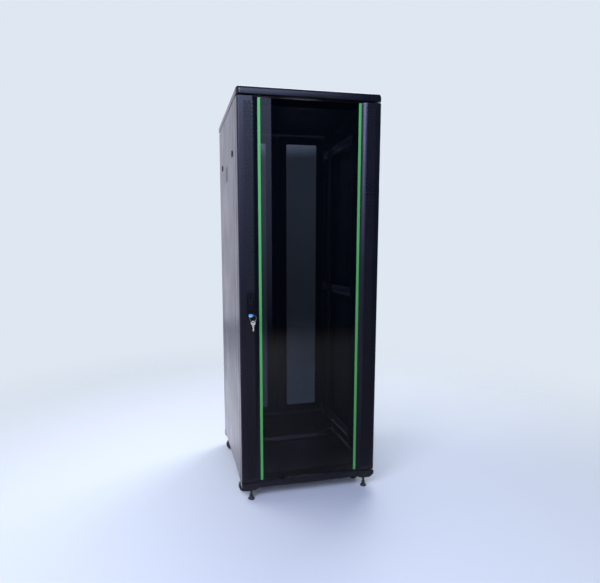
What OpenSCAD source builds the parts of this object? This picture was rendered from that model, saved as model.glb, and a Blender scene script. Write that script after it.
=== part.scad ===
// Floor-standing 19-inch network cabinet with a glass front door.
// Origin: centre of the footprint on the floor. Front is -Y, +Z is up. Millimetres.

/* [Cabinet] */
// Width over the side panels
cab_w = 600; // [600:10:800]
// Depth from the front door's face to the rear door's face
cab_d = 600; // [580:10:1000]
// Height of the rack in rack units
rack_units = 32; // [18:1:42]
// Free height above and below the rack units
rail_room = 80.3; // [70:0.1:110]

/* [Base frame] */
// Underside of the front rail above the floor
floor_gap = 52; // [50:1:60]
// Height of the front and rear rails
base_h = 24; // [24:1:50]
// Height of the side rails, above the caster wheels
base_side_h = 22; // [20:1:22]
// Width of the side rails, which hold the casters
base_side_w = 50; // [46:1:60]
// Set-back of the side rails behind the side panels
base_inset = 18; // [14:1:24]
// Sheet thickness of the rails
base_t = 2; // [1.5:0.1:3]
// Set-back of the front rail behind the corner blocks
base_step = 4; // [2:0.5:8]
// Width of a corner block
block_w = 75; // [70:1:90]
// Drop of a corner block below the rails
block_drop = 8; // [4:0.5:10]
// Wall of a corner block
block_t = 3; // [2:0.5:4]
// Width of the bevel under a block's outer edge
block_bevel_w = 19; // [10:1:24]
// Height of that bevel
block_bevel_h = 13; // [6:1:18]
// Width of the bevel under a block's inner edge
block_inner_w = 18; // [8:1:22]
// Height of the inner bevel
block_inner_h = 8; // [4:1:12]
// Gap between the two floor plates, where cables come in
floor_slot = 80; // [40:5:150]
// Middle of the cable gap in front of the cabinet's rear face
floor_slot_back = 180; // [150:5:240]
// Sheet thickness of the floor plates
floor_t = 1.2; // [1:0.1:2]
// Width over which a floor plate lies on the front and rear rails
floor_seat = 6; // [4:1:12]

/* [Posts] */
// Width of a post's face
post_w = 48; // [44:1:48]
// Depth of a post's side
post_d = 60; // [50:1:80]
// Sheet thickness of a post
post_t = 2; // [1.5:0.1:3]
// Return behind the post's face
post_face_return = 22; // [18:1:30]
// Return behind the post's side
post_side_return = 16; // [12:1:20]
// Thickness of the end plates
post_plate = 3; // [2:0.5:4]
// Post bolts' distance from the cabinet's side
post_bolt_inset = 9; // [8.5:0.5:10]
// Thread diameter of the frame bolts
frame_bolt_d = 6; // [5:1:6]

/* [Top] */
// Height of the top frame
top_h = 31; // [28:1:50]
// Overhang of the top frame over the doors and side panels
top_over = 2; // [0:0.5:5]
// Width of the top frame's members
top_rim = 46; // [44:1:60]
// Wall of the top frame
top_t = 2.5; // [2:0.1:3]
// Radius of the bullnose
nose_r = 12; // [6:1:14]
// Radius of the corners seen from above
top_corner_r = 16; // [15:1:24]
// Sheet thickness of the roof panel
roof_t = 1.2; // [1:0.1:2]
// Width of the roof panel under the top frame's rim
roof_seat = 14; // [8:1:20]
// Opening diameter of a fan position
fan_d = 112; // [90:1:116]
// Bolt spacing of a fan
fan_bolt_pitch = 105; // [105:0.5:105]
// Bolt hole diameter of a fan
fan_bolt_d = 4.4; // [4:0.1:5]
// Spacing of the fan positions
fan_pitch = 150; // [130:1:160]
// Middle of the fan field, in front of the centre
fan_field_y = -50; // [-90:5:-20]
// Open width of a fan slot
fan_slot = 7; // [4:0.5:8]
// Bar between two fan slots
fan_bar = 5; // [3:0.5:6]
// Width of the cable entry in the roof
entry_w = 300; // [150:10:360]
// Depth of the cable entry
entry_d = 70; // [40:5:80]
// Middle of the cable entry in front of the cabinet's rear face
entry_back = 120; // [110:5:150]
// Overlap of the entry's cover
entry_lap = 15; // [8:1:18]
// Thickness of the entry's cover
entry_t = 1.5; // [1:0.1:2]

/* [Rack rails] */
// Clear width between the rails
bay_w = 450; // [450:0.1:452]
// Distance of a column of hole centres from the bay
hole_in = 7.55; // [7.5:0.05:8]
// Side of a square hole
hole_side = 9.5; // [9:0.1:9.5]
// Width of a rail's front flange
rail_w = 18; // [17:0.5:18]
// Depth of a rail's side flange
rail_d = 45; // [36:1:60]
// Sheet thickness of the rails
rail_t = 2; // [1.5:0.1:2.5]
// Rail left over above and below the rack units
rail_end = 8.8; // [5:0.1:12]
// Set-back of the front rails behind the front posts' faces
front_rail_back = 66; // [50:1:120]
// Set-back of the rear rails from the rear posts' faces
rear_rail_back = 96; // [50:1:160]
// Height of a depth rail
depth_rail_h = 40; // [30:1:50]
// Distance of the outer depth rails from the rack rails' ends
depth_rail_end = 36; // [30:1:60]
// Length of an adjusting slot
depth_slot = 24; // [16:1:30]
// Pitch of the adjusting slots
depth_slot_pitch = 40; // [34:1:60]
// Thread diameter of the rail bolts
rail_bolt_d = 6; // [5:1:6]

/* [Front door] */
// Depth of the door
door_t = 38; // [34:1:45]
// Gap all round a door
door_gap = 6; // [5:0.5:8]
// Width of a perforated border
border_w = 83; // [80:1:110]
// Width of a border's flat front
border_flat = 62; // [56:1:66]
// Radius of a border's outer edge
border_r = 8; // [4:0.5:10]
// Sheet thickness of a border
border_t = 1.5; // [1.2:0.1:2]
// Set-back of the glass behind the border's front
glass_step = 10; // [6:0.5:14]
// Width of the lip that the glass is bonded to
lip_w = 16; // [12:1:18]
// Return at the back of a border
border_return = 20; // [18:1:22]
// Thickness of the glass
glass_t = 5; // [4:0.5:6]
// Width of a trim strip
trim_w = 11; // [8:1:24]
// Thickness of a trim strip
trim_t = 2; // [1:0.5:3]
// Height of the rails behind the glass
door_rail_h = 28; // [20:1:50]
// Columns of slots in a border
border_cols = 3; // [1:1:3]
// Slot width in a border
border_slot_w = 6; // [3:0.5:7]
// Slot height in a border
border_slot_h = 18; // [10:1:30]
// Steel left between two slots in a border
border_web = 4.5; // [3:0.5:6]
// Plain margin at the top and bottom of a border
border_margin = 30; // [20:1:60]

/* [Rear doors] */
// Depth of a leaf
leaf_t = 28; // [26:1:36]
// Sheet thickness of a leaf
leaf_wall = 1.2; // [1:0.1:2]
// Gap between the two leaves
leaf_gap = 3; // [2:0.5:6]
// Set-back of a leaf's hinge edge from the cabinet's side
leaf_side = 2; // [0.5:0.5:4]
// Height of the sill below the leaves
sill_h = 74; // [40:1:110]
// Plain margin at a leaf's free edge
vent_margin_free = 53; // [50:1:80]
// Plain margin at a leaf's hinge edge
vent_margin_hinge = 74; // [60:1:100]
// Plain margin at the top and bottom of a leaf
vent_margin_end = 32; // [30:1:120]
// Slot width in a leaf
vent_slot_w = 8; // [5:0.5:9]
// Slot height in a leaf
vent_slot_h = 40; // [20:1:60]
// Steel left between two slots in a leaf
vent_web = 4.5; // [3:0.5:8]

/* [Hinges] */
// Hinge axis from the cabinet's side
hinge_side = 10; // [9.5:0.5:11]
// Front hinge axis from the door's back
hinge_back = 8; // [7.5:0.5:9]
// Diameter of a hinge pin
pin_d = 8; // [6:0.5:8]
// Length of a hinge pin in its block
pin_len = 18; // [12:1:24]
// Length of a hinge block
hinge_block_h = 30; // [26:1:40]
// Radial clearance of turning fits
run_gap = 0.05; // [0.03:0.01:0.1]
// Thickness of a pin's collar
collar_t = 3; // [2:0.5:4]
// Diameter of a pin's collar
collar_d = 14; // [12:0.5:15]

/* [Side panels] */
// Sheet thickness of a side panel
panel_t = 1.2; // [1:0.1:2]
// Depth of a panel's folded edges
panel_fold = 15; // [10:1:15]
// Gap round a side panel
panel_gap = 2; // [1.5:0.5:4]
// Width of a pressed grip
grip_w = 120; // [80:5:160]
// Height of a pressed grip
grip_h = 86; // [40:2:110]
// Depth of a pressed grip
grip_depth = 8; // [4:1:12]
// Width of the slope round a pressed grip
grip_slope = 16; // [8:1:18]
// Height of the grip's middle below the panel's top
grip_drop = 250; // [150:10:400]
// Diameter of a side latch's head
latch_d = 28; // [22:1:30]
// Diameter of a side latch's barrel
latch_barrel_d = 18; // [14:1:19]
// Distance of a latch from the panel's edge
latch_inset = 30; // [24:1:60]
// Distance of a latch below the panel's top
latch_drop = 195; // [100:5:400]

/* [Locks] */
// Distance of the front lock from the cabinet's side
lock_in = 44; // [42:1:44]
// Height of the front lock's middle
lock_z = 840; // [650:5:900]
// Distance of the rear lock from the leaf's free edge
rear_lock_in = 35; // [28:1:36]
// Height of the rear lock's middle
rear_lock_z = 905; // [650:5:950]
// Width of a lock housing
lock_w = 28; // [28:0.5:30]
// Height of a lock housing
lock_h = 112; // [110:1:130]
// Thickness of a housing in front of the door
lock_t = 6; // [4:0.5:8]
// Width of the housing's box behind the sheet
lock_box_w = 22; // [21:0.5:23]
// Depth of the housing's box behind the door's face
lock_box_d = 16; // [10:1:20]
// Overlap of a housing over its box, above and below
lock_lap = 7; // [5:0.5:9]
// Rotor axis above the lock's middle
rotor_up = 38; // [36:0.5:40]
// Diameter of a rotor
rotor_d = 18; // [16:0.5:18]
// Lock plug below the lock's middle
plug_down = 40; // [38:0.5:42]
// Diameter of the lock plug
plug_d = 11; // [10:0.5:12]
// Width of a lever
lever_w = 18; // [16:0.5:20]
// Length of a lever below its pivot
lever_len = 60; // [50:1:62]
// Thickness of a lever
lever_t = 8; // [7:0.5:9]
// Reach of a latch cam
cam_len = 24; // [20:0.5:24]
// Height of a latch cam
cam_h = 16; // [12:0.5:18]
// Thickness of a latch cam
cam_t = 3; // [2:0.5:4]
// Depth of the front cam behind the door's face
cam_depth = 28; // [24:0.5:29]
// Reach of the keeper above and below the cam
keeper_reach = 13; // [10:0.5:16]

/* [Keys] */
// Outer diameter of the key's bow
bow_d = 20; // [18:0.5:22]
// Diameter of the hole in a bow
bow_hole = 12; // [11:0.5:13]
// Thickness of the key's bow
bow_t = 4; // [3:0.5:4]
// Thickness of a blade
blade_t = 1.6; // [1.2:0.1:2]
// Width of a blade
blade_w = 7; // [6:0.5:8]
// Length of the spare key's blade
blade_len = 24; // [18:1:30]
// Middle diameter of the key ring
ring_d = 28; // [22:0.5:30]
// Wire diameter of the key ring
ring_wire = 1.8; // [1.4:0.1:2]
// Turn of the hanging ring about the vertical
ring_yaw = 10; // [0:5:15]
// Turn of the spare key against its ring
spare_turn = 55; // [0:5:55]

/* [Casters and feet] */
// Diameter of a caster wheel
wheel_d = 50; // [40:1:50]
// Width of a caster wheel
wheel_w = 20; // [16:1:21]
// Wheel clearance while the feet carry the cabinet
wheel_lift = 1.5; // [1:0.5:4]
// Trail of a caster
trail = 20; // [16:1:22]
// Caster axis from the cabinet's front and rear faces
caster_in = 84; // [82:1:110]
// Diameter of an axle
axle_d = 8; // [6:0.5:8]
// Foot axis from the cabinet's side
foot_side = 42; // [38:1:46]
// Foot axis from the cabinet's front and rear faces
foot_in = 16; // [15:0.5:18]
// Diameter of a foot's pad
foot_d = 28; // [24:1:30]
// Thread diameter of a foot's stem
foot_stem_d = 10; // [8:1:12]
// Height of the top of a foot's stem
foot_stem_top = 58; // [57:1:58]
// Height of the threaded boss for a foot
foot_boss_h = 13; // [10:1:14]
// Wall of that boss
foot_boss_wall = 5; // [4:0.5:6]

/* [Seals] */
// Width of a seal strip
seal_w = 8; // [5:0.5:9]
// Thickness of a seal strip
seal_t = 4.5; // [3:0.5:5]

/* [Hidden] */
$fn = 64;
unit_h = 44.45;
unit_holes = [6.35, 22.225, 38.1];
hull_fn = 32;
eps = 1;
slice_t = 0.02;
round_off = 0.001;
ink = "#1c1d22";
ink_soft = "#26272d";
zinc = "#b9bcc2";
green = "#55aa6e";

hx = cab_w / 2;
hy = cab_d / 2;
base_top = floor_gap + base_h;
frame_h = rack_units * unit_h + 2 * rail_room;
top_z = base_top + frame_h;
floor_slot_y = hy - floor_slot_back;
entry_y = hy - entry_back;
cab_h = top_z + top_h;
front_face = hy - door_t - door_gap;
rear_face = hy - leaf_t - door_gap;
block_z = floor_gap - block_drop;
post_x = hx - post_w;
base_bolt = block_t + frame_bolt_d;
top_bolt = top_t + frame_bolt_d;
door_z0 = base_top + door_gap;
door_z1 = top_z - door_gap;
rail_out = bay_w / 2 + rail_w;
rail_z0 = base_top + rail_room - rail_end;
rail_z1 = top_z - rail_room + rail_end;
front_rail_y = -front_face + front_rail_back;
rear_rail_y = rear_face - rear_rail_back;
rail_bolt_y = rail_d * 0.55;
depth_rail_zs = [rail_z0 + depth_rail_end, (rail_z0 + rail_z1) / 2, rail_z1 - depth_rail_end];
bolt_gap = 0.3;
small_gap = 0.5;
hinge_x = hx - hinge_side;
hinge_y_front = -hy + door_t - hinge_back;
hinge_y_rear = hy - leaf_t + hinge_back - 1;
hinge_wall = 5;
sill_z1 = base_top + sill_h;
leaf_z0 = sill_z1 + door_gap;
leaf_w = hx - leaf_side - leaf_gap / 2;
leaf_h = door_z1 - leaf_z0;
panel_z0 = base_top + panel_gap;
panel_h = frame_h - 2 * panel_gap;
panel_y0 = -front_face + post_d + panel_gap;
panel_y1 = rear_face - post_d - panel_gap;
panel_w = panel_y1 - panel_y0;
latch_z = panel_z0 + panel_h - latch_drop;
lock_x = -(hx - lock_in);
rear_lock_x = -leaf_gap / 2 - rear_lock_in;
lock_box_h = lock_h - 2 * lock_lap;
rotor_proud = 0.5;
rotor_tab = 6;
lever_axis_out = lock_t + 5;
lever_pin_d = 3;
key_z = lock_z - plug_down;
plug_flange_d = 16;
plug_flange_t = 2;
plug_gap = 0.3;
key_out = lock_t + plug_gap + plug_flange_t + 1.7;
bow_y = -hy - key_out - bow_d / 2;
bridge_x = (bow_d + bow_hole) / 4;
bridge_r = norm([(bow_d - bow_hole) / 4 / cos(ring_yaw), bow_t / 2]);
ring_play = 0.5;
ring_drop = ring_d / 2 - ring_wire / 2 - bridge_r - ring_play;
spare_t = 2;
spare_drop = ring_drop + ring_d / 2 - ring_wire / 2 + bow_hole / 2 - ring_play;
caster_x = hx - base_inset - base_side_w / 2;
caster_y = hy - caster_in;
wheel_z = wheel_d / 2 + wheel_lift;
fork_z = wheel_z + wheel_d / 2 + 5.5;
fork_front = 11;
fork_rear = 15;
fork_crown = 4;
fork_hub_d = 28;
fork_hub_h = 8;
fork_leg = 2.5;
fork_gap = 1;
plate_z = base_top - block_t;
plate_t = 3;
kingpin_d = 10;
kingpin_head = 2.5;
foot_x = hx - foot_side;
foot_y = hy - foot_in;

function face_y(sy) = sy < 0 ? front_face : rear_face;

// Sections are drawn flat and pulled along one axis.
module along_x(x0, x1) {
  translate([x0, 0, 0]) rotate([90, 0, 90]) linear_extrude(x1 - x0) children();
}

module along_y(y0, y1) {
  translate([0, y1, 0]) rotate([90, 0, 0]) linear_extrude(y1 - y0) children();
}

module along_z(z0, z1) {
  translate([0, 0, z0]) linear_extrude(z1 - z0) children();
}

// Children are drawn at the right rear and mirrored to the corner asked for.
module corner(sx, sy) {
  mirror([sx < 0 ? 1 : 0, 0, 0]) mirror([0, sy < 0 ? 1 : 0, 0]) children();
}

module corners_with_face() {
  for (sx = [-1, 1], s = [-1, 1]) {
    $sy = s;
    corner(sx, s) children();
  }
}

module both_sides() {
  children();
  mirror([1, 0, 0]) children();
}

module stadium(w, l) {
  square([w, l - w], center = true);
  for (s = [-1, 1]) translate([0, s * (l - w) / 2]) circle(d = w);
}

function hex_d(d) = d * 1.9;

// Hex-headed bolt; the head's seat is at z = 0 and the shank goes to +Z.
module bolt(d, length) {
  head_h = d * 0.65;
  translate([0, 0, -head_h]) cylinder(d = hex_d(d), h = head_h, $fn = 6);
  cylinder(d = d, h = length);
}

module bolt_and_nut(d, grip) {
  bolt(d, grip + d);
  translate([0, 0, grip]) cylinder(d = hex_d(d), h = d * 0.8, $fn = 6);
}

// Sheet with folded edges: face on z = 0, folds to +Z; children are cut out of the face.
module tray(w, h, depth, wall) {
  linear_extrude(wall) difference() {
    square([w, h]);
    children();
  }
  linear_extrude(depth) difference() {
    square([w, h]);
    translate([wall, wall]) square([w - 2 * wall, h - 2 * wall]);
  }
}

// Slots that fill a field of w by h, each sw by sh with steel of web between them.
module slot_field(w, h, sw, sh, web) {
  cols = floor((w + web) / (sw + web) + round_off);
  rows = floor((h + web) / (sh + web) + round_off);
  left = (w - cols * (sw + web) + web) / 2;
  low = (h - rows * (sh + web) + web) / 2;
  for (c = [0 : cols - 1], r = [0 : rows - 1])
    translate([left + c * (sw + web), low + r * (sh + web)]) square([sw, sh]);
}

// Base

function block_outline(t) =
  let (x0 = hx - block_w + t, x1 = hx - t, z0 = block_z + t, z1 = base_top - t)
  [[x0, z1], [x1, z1], [x1, z0 + block_bevel_h], [x1 - block_bevel_w, z0],
   [x0 + block_inner_w, z0], [x0, z0 + block_inner_h]];

module base_corner(sy) {
  back = face_y(sy);
  boss_d = foot_stem_d + 2 * foot_boss_wall;
  difference() {
    union() {
      difference() {
        along_y(back, hy) polygon(block_outline(0));
        along_y(back - eps, hy - block_t) polygon(block_outline(block_t));
      }
      translate([hx - block_w, back - post_d, base_top - block_t])
        cube([block_w, hy - back + post_d, block_t]);
      translate([foot_x, foot_y, block_z]) cylinder(d = boss_d, h = foot_boss_h);
      post_bolt_at(sy, base_top - base_bolt) cylinder(d = 2 * frame_bolt_d, h = base_bolt);
    }
    translate([foot_x, foot_y, 0]) cylinder(d = foot_stem_d + 2 * run_gap, h = block_z + foot_boss_h + eps);
    post_bolt_at(sy, base_top - base_bolt - eps)
      cylinder(d = frame_bolt_d + 2 * bolt_gap, h = base_bolt + 2 * eps);
  }
}

module post_bolt_at(sy, z) {
  translate([hx - post_bolt_inset, face_y(sy) - post_d / 2, z]) children();
}

module base_side_rail() {
  x0 = hx - base_inset - base_side_w;
  z0 = base_top - base_side_h;
  along_y(-front_face, rear_face) difference() {
    translate([x0, z0]) square([base_side_w, base_side_h]);
    translate([x0 + base_t, z0 - eps]) square([base_side_w - 2 * base_t, base_side_h - base_t + eps]);
  }
}

module base_end_rail(sy) {
  back = face_y(sy);
  out = hy - base_step;
  reach = hx - block_w + block_t / 2;
  corner(1, sy) along_x(-reach, reach) {
    translate([out - base_t, floor_gap]) square([base_t, base_h]);
    translate([back - floor_seat, base_top - base_t]) square([out - back + floor_seat, base_t]);
    translate([back, floor_gap]) square([out - back, base_t]);
  }
}

module base_frame() color(ink) {
  both_sides() {
    base_side_rail();
    for (sy = [-1, 1]) corner(1, sy) base_corner(sy);
  }
  for (sy = [-1, 1]) base_end_rail(sy);
}

module floor_plates() color(ink_soft) {
  half = post_x - 2;
  y_gap0 = floor_slot_y - floor_slot / 2;
  y_gap1 = floor_slot_y + floor_slot / 2;
  for (span = [[-front_face, y_gap0], [y_gap1, rear_face]])
    translate([-half, span[0], base_top]) cube([2 * half, span[1] - span[0], floor_t]);
}

// Posts

module post_section(back) {
  translate([post_x, back - post_t]) square([post_w, post_t]);
  translate([hx - post_t, back - post_d]) square([post_t, post_d]);
  translate([hx - post_side_return, back - post_d]) square([post_side_return, post_t]);
  translate([post_x, back - post_face_return]) square([post_t, post_face_return]);
}

module post(sx, sy) color(ink) corner(sx, sy) {
  back = face_y(sy);
  difference() {
    union() {
      along_z(base_top, top_z) post_section(back);
      for (z = [base_top, top_z - post_plate])
        translate([post_x, back - post_d, z]) cube([post_w, post_d, post_plate]);
    }
    post_bolt_at(sy, base_top - eps) cylinder(d = frame_bolt_d + 2 * bolt_gap, h = frame_h + 2 * eps);
    depth_rail_bolts_at(sy) cylinder(d = rail_bolt_d + 2 * bolt_gap, h = 4 * post_t, center = true);
  }
}

module depth_rail_bolts_at(sy) {
  for (z = depth_rail_zs)
    translate([post_x, face_y(sy) - post_face_return / 2, z]) rotate([0, 90, 0]) children();
}

module frame_bolts() color(zinc) corners_with_face() {
  post_bolt_at($sy, base_top + post_plate) mirror([0, 0, 1]) bolt(frame_bolt_d, post_plate + base_bolt);
  post_bolt_at($sy, top_z - post_plate) bolt(frame_bolt_d, post_plate + top_bolt);
}

// Top

module top_slice(z, inset) {
  r = top_corner_r - inset;
  x = hx + top_over - inset - r;
  y = hy + top_over - inset - r;
  for (sx = [-1, 1], sy = [-1, 1])
    translate([sx * x, sy * y, z]) cylinder(r = r, h = slice_t, $fn = hull_fn);
}

module top_frame() color(ink) {
  inner_x = hx + top_over - top_rim;
  inner_y = hy + top_over - top_rim;
  hollow_x = hx + top_over - top_t - nose_r;
  hollow_y = hy + top_over - top_t - nose_r;
  lower_r = 3;
  difference() {
    hull() {
      top_slice(top_z, lower_r);
      top_slice(top_z + lower_r, 0);
      for (a = [0 : 22.5 : 90])
        top_slice(cab_h - nose_r * (1 - sin(a)) - slice_t, nose_r * (1 - cos(a)));
    }
    translate([-inner_x, -inner_y, top_z - eps]) cube([2 * inner_x, 2 * inner_y, top_h + 2 * eps]);
    translate([-hollow_x, -hollow_y, top_z + top_t]) cube([2 * hollow_x, 2 * hollow_y, top_h - 2 * top_t]);
    corners_with_face() post_bolt_at($sy, top_z - eps)
      cylinder(d = frame_bolt_d + 2 * bolt_gap, h = top_bolt + 2 * eps);
  }
}

module fan_position() {
  pitch = fan_slot + fan_bar;
  n = floor(fan_d / 2 / pitch);
  intersection() {
    circle(d = fan_d);
    for (i = [-n : n]) translate([i * pitch - fan_slot / 2, -fan_d / 2]) square([fan_slot, fan_d]);
  }
  for (sx = [-1, 1], sy = [-1, 1]) translate([sx, sy] * fan_bolt_pitch / 2) circle(d = fan_bolt_d);
}

module roof_panel() color(ink_soft) {
  half_x = hx + top_over - top_rim + roof_seat;
  half_y = hy + top_over - top_rim + roof_seat;
  along_z(cab_h - top_t - roof_t, cab_h - top_t) difference() {
    square([2 * half_x, 2 * half_y], center = true);
    for (sx = [-1, 1], sy = [-1, 1])
      translate([sx * fan_pitch / 2, fan_field_y + sy * fan_pitch / 2]) fan_position();
    translate([-entry_w / 2, entry_y - entry_d / 2]) square([entry_w, entry_d]);
  }
}

module roof_entry_cover() color(ink) {
  w = entry_w + 2 * entry_lap;
  d = entry_d + 2 * entry_lap;
  translate([-w / 2, entry_y - d / 2, cab_h - top_t]) cube([w, d, entry_t]);
}

// Rack

module depth_rail_section() {
  h = depth_rail_h;
  translate([post_x - post_t, -h / 2]) square([post_t, h]);
  for (z = [-h / 2, h / 2 - post_t]) translate([rail_out, z]) square([post_x - rail_out, post_t]);
}

module depth_rail_slots() {
  y0 = -front_face + post_face_return + depth_slot;
  y1 = rear_face - post_face_return - depth_slot;
  n = floor((y1 - y0) / depth_slot_pitch);
  start = (y0 + y1) / 2 - n * depth_slot_pitch / 2;
  for (i = [0 : n]) translate([0, start + i * depth_slot_pitch, 0]) children();
}

module depth_rail() {
  y0 = -front_face + post_t + small_gap;
  y1 = rear_face - post_t - small_gap;
  slot_w = rail_bolt_d + 2 * small_gap;
  through = 4 * post_t;
  difference() {
    along_y(y0, y1) depth_rail_section();
    depth_rail_slots() translate([post_x, 0, 0]) rotate([0, 90, 0])
      linear_extrude(through, center = true) stadium(slot_w, depth_slot);
    for (y = [front_rail_y + rail_bolt_y, rear_rail_y - rail_bolt_y])
      translate([post_x, y, 0]) rotate([0, 90, 0]) cylinder(d = slot_w, h = through, center = true);
    for (sy = [-1, 1])
      translate([post_x, sy * (face_y(sy) - post_face_return / 2), 0]) rotate([0, 90, 0])
        cylinder(d = rail_bolt_d + 2 * bolt_gap, h = through, center = true);
  }
}

module depth_rails() color(zinc) both_sides() {
  for (z = depth_rail_zs) translate([0, 0, z]) depth_rail();
}

// Front flange seen from the front, with three square holes in each unit.
module rack_rail_face() {
  difference() {
    translate([bay_w / 2, rail_z0]) square([rail_w, rail_z1 - rail_z0]);
    for (u = [0 : rack_units - 1], h = unit_holes)
      translate([bay_w / 2 + hole_in, base_top + rail_room + u * unit_h + h])
        square(hole_side, center = true);
  }
}

// Right rail with its front flange on y = 0 and its side flange towards +Y.
module rack_rail() {
  along_y(0, rail_t) rack_rail_face();
  difference() {
    translate([rail_out - rail_t, 0, rail_z0]) cube([rail_t, rail_d, rail_z1 - rail_z0]);
    for (z = depth_rail_zs)
      translate([rail_out, rail_bolt_y, z]) rotate([0, 90, 0])
        cylinder(d = rail_bolt_d + 2 * bolt_gap, h = 3 * rail_t, center = true);
  }
}

module rack_rails_front() color(ink_soft) both_sides()
  translate([0, front_rail_y, 0]) rack_rail();

module rack_rails_rear() color(ink_soft) both_sides()
  translate([0, rear_rail_y, 0]) mirror([0, 1, 0]) rack_rail();

module rail_bolts() color(zinc) both_sides() for (z = depth_rail_zs) {
  for (y = [front_rail_y + rail_bolt_y, rear_rail_y - rail_bolt_y])
    translate([rail_out - rail_t, y, z]) rotate([0, 90, 0])
      bolt_and_nut(rail_bolt_d, post_x - rail_out + rail_t);
  for (sy = [-1, 1])
    translate([post_x - post_t, sy * (face_y(sy) - post_face_return / 2), z]) rotate([0, 90, 0])
      bolt_and_nut(rail_bolt_d, 2 * post_t);
}

// Front door

module border_edge() {
  translate([border_r, border_r]) intersection() {
    difference() {
      circle(r = border_r);
      circle(r = border_r - border_t);
    }
    translate([-border_r, -border_r]) square(border_r);
  }
}

// Folded sheet of a border, without its perforated front; x runs inwards from the door's edge.
module border_section() {
  border_edge();
  translate([0, border_r]) square([border_t, door_t - border_r]);
  polygon([[border_flat, 0], [border_w, glass_step], [border_w, glass_step + border_t],
           [border_flat, border_t]]);
  translate([border_w - lip_w, glass_step]) square([lip_w, border_t]);
  translate([0, door_t - border_t]) square([border_return, border_t]);
}

module border_cap() {
  translate([border_r, border_r]) circle(r = border_r);
  translate([border_r, 0]) square([border_flat - border_r, door_t]);
  translate([0, border_r]) square([border_flat, door_t - border_r]);
  polygon([[border_flat, 0], [border_w, glass_step], [border_w, glass_step + border_t],
           [border_flat, glass_step + border_t]]);
}

// Perforated front of a border between its two end caps; x runs inwards from the door's edge.
module border_front(has_lock) {
  h = door_z1 - door_z0 - 2 * border_t;
  field_w = border_cols * (border_slot_w + border_web) - border_web;
  lock_mid = lock_z - door_z0 - border_t;
  clear_h = lock_h + 2 * border_web;
  difference() {
    translate([border_r, 0]) square([border_flat - border_r, h]);
    difference() {
      translate([border_flat - border_web - field_w, border_margin])
        slot_field(field_w, h - 2 * border_margin, border_slot_w, border_slot_h, border_web);
      if (has_lock) translate([0, lock_mid - clear_h / 2]) square([border_flat, clear_h]);
    }
    if (has_lock) translate([lock_in, lock_mid])
      square([lock_box_w + 2 * small_gap, lock_box_h + 2 * small_gap], center = true);
  }
}

module border(has_lock) color(ink) translate([hx, -hy, 0]) mirror([1, 0, 0]) {
  difference() {
    union() {
      along_z(door_z0, door_z1) border_section();
      along_y(0, border_t) translate([0, door_z0 + border_t]) border_front(has_lock);
      for (z = [door_z0, door_z1 - border_t]) along_z(z, z + border_t) border_cap();
    }
    if (!has_lock) translate([hinge_side, door_t - hinge_back, door_z0 - eps])
      cylinder(d = pin_d + 2, h = door_z1 - door_z0 + 2 * eps);
  }
}

module door_rails() color(ink) {
  half = hx - border_return - 4 * small_gap;
  y0 = -hy + glass_step + border_t + glass_t;
  depth = door_t - border_t - glass_step - border_t - glass_t;
  for (z = [door_z0 + border_t, door_z1 - border_t - door_rail_h])
    along_x(-half, half) translate([y0, z]) difference() {
      square([depth, door_rail_h]);
      translate([border_t, border_t]) square([depth, door_rail_h - 2 * border_t]);
    }
}

module door_glass() color("#20303880") {
  half = hx - border_w + lip_w - 4 * small_gap;
  translate([-half, -hy + glass_step + border_t, door_z0 + border_t])
    cube([2 * half, glass_t, door_z1 - door_z0 - 2 * border_t]);
}

module trim_strips() color(green) both_sides()
  translate([hx - border_w - trim_w - small_gap, -hy + glass_step + border_t - trim_t, door_z0 + border_t])
    cube([trim_w, trim_t, door_z1 - door_z0 - 2 * border_t]);

// Block in a door's hinge corner; its foot is at z = 0 and the pin's axis at the origin.
module hinge_block(to_side, to_back) {
  half = pin_d / 2 + hinge_wall;
  difference() {
    translate([-half, -half, 0]) cube([half + to_side, half + to_back, hinge_block_h]);
    translate([0, 0, -eps]) cylinder(d = pin_d + 2 * run_gap, h = hinge_block_h + 2 * eps);
  }
}

module front_hinge_blocks() color(zinc)
  for (z = [door_z0 + border_t, door_z1 - border_t - hinge_block_h])
    translate([hinge_x, hinge_y_front, z]) hinge_block(hinge_side - border_t, hinge_back - border_t);

// Pin with its collar seated on z = 0.
module hinge_pin(gap) {
  cylinder(d = collar_d, h = collar_t);
  cylinder(d = pin_d, h = gap + pin_len);
}

module hinge_pins() color(zinc) {
  translate([hinge_x, hinge_y_front, base_top]) hinge_pin(door_gap);
  translate([hinge_x, hinge_y_front, top_z]) mirror([0, 0, 1]) hinge_pin(door_gap);
  both_sides() {
    translate([hinge_x, hinge_y_rear, sill_z1]) hinge_pin(door_gap);
    translate([hinge_x, hinge_y_rear, top_z]) mirror([0, 0, 1]) hinge_pin(door_gap);
  }
}

// Rear doors

module leaf_face_cuts(has_lock) {
  field_w = leaf_w - vent_margin_free - vent_margin_hinge;
  translate([vent_margin_free, vent_margin_end])
    slot_field(field_w, leaf_h - 2 * vent_margin_end, vent_slot_w, vent_slot_h, vent_web);
  if (has_lock) translate([rear_lock_in, rear_lock_z - leaf_z0])
    square([lock_box_w + 2 * small_gap, lock_box_h + 2 * small_gap], center = true);
}

// Right leaf; the left one is its mirror image.
module leaf(has_lock) color(ink_soft) difference() {
  translate([leaf_gap / 2, hy, leaf_z0]) rotate([90, 0, 0])
    tray(leaf_w, leaf_h, leaf_t, leaf_wall) leaf_face_cuts(has_lock);
  translate([hinge_x, hinge_y_rear, leaf_z0 - eps]) cylinder(d = pin_d + 2, h = leaf_h + 2 * eps);
}

module rear_leaf_right() leaf(false);

module rear_leaf_left() mirror([1, 0, 0]) leaf(true);

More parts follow.
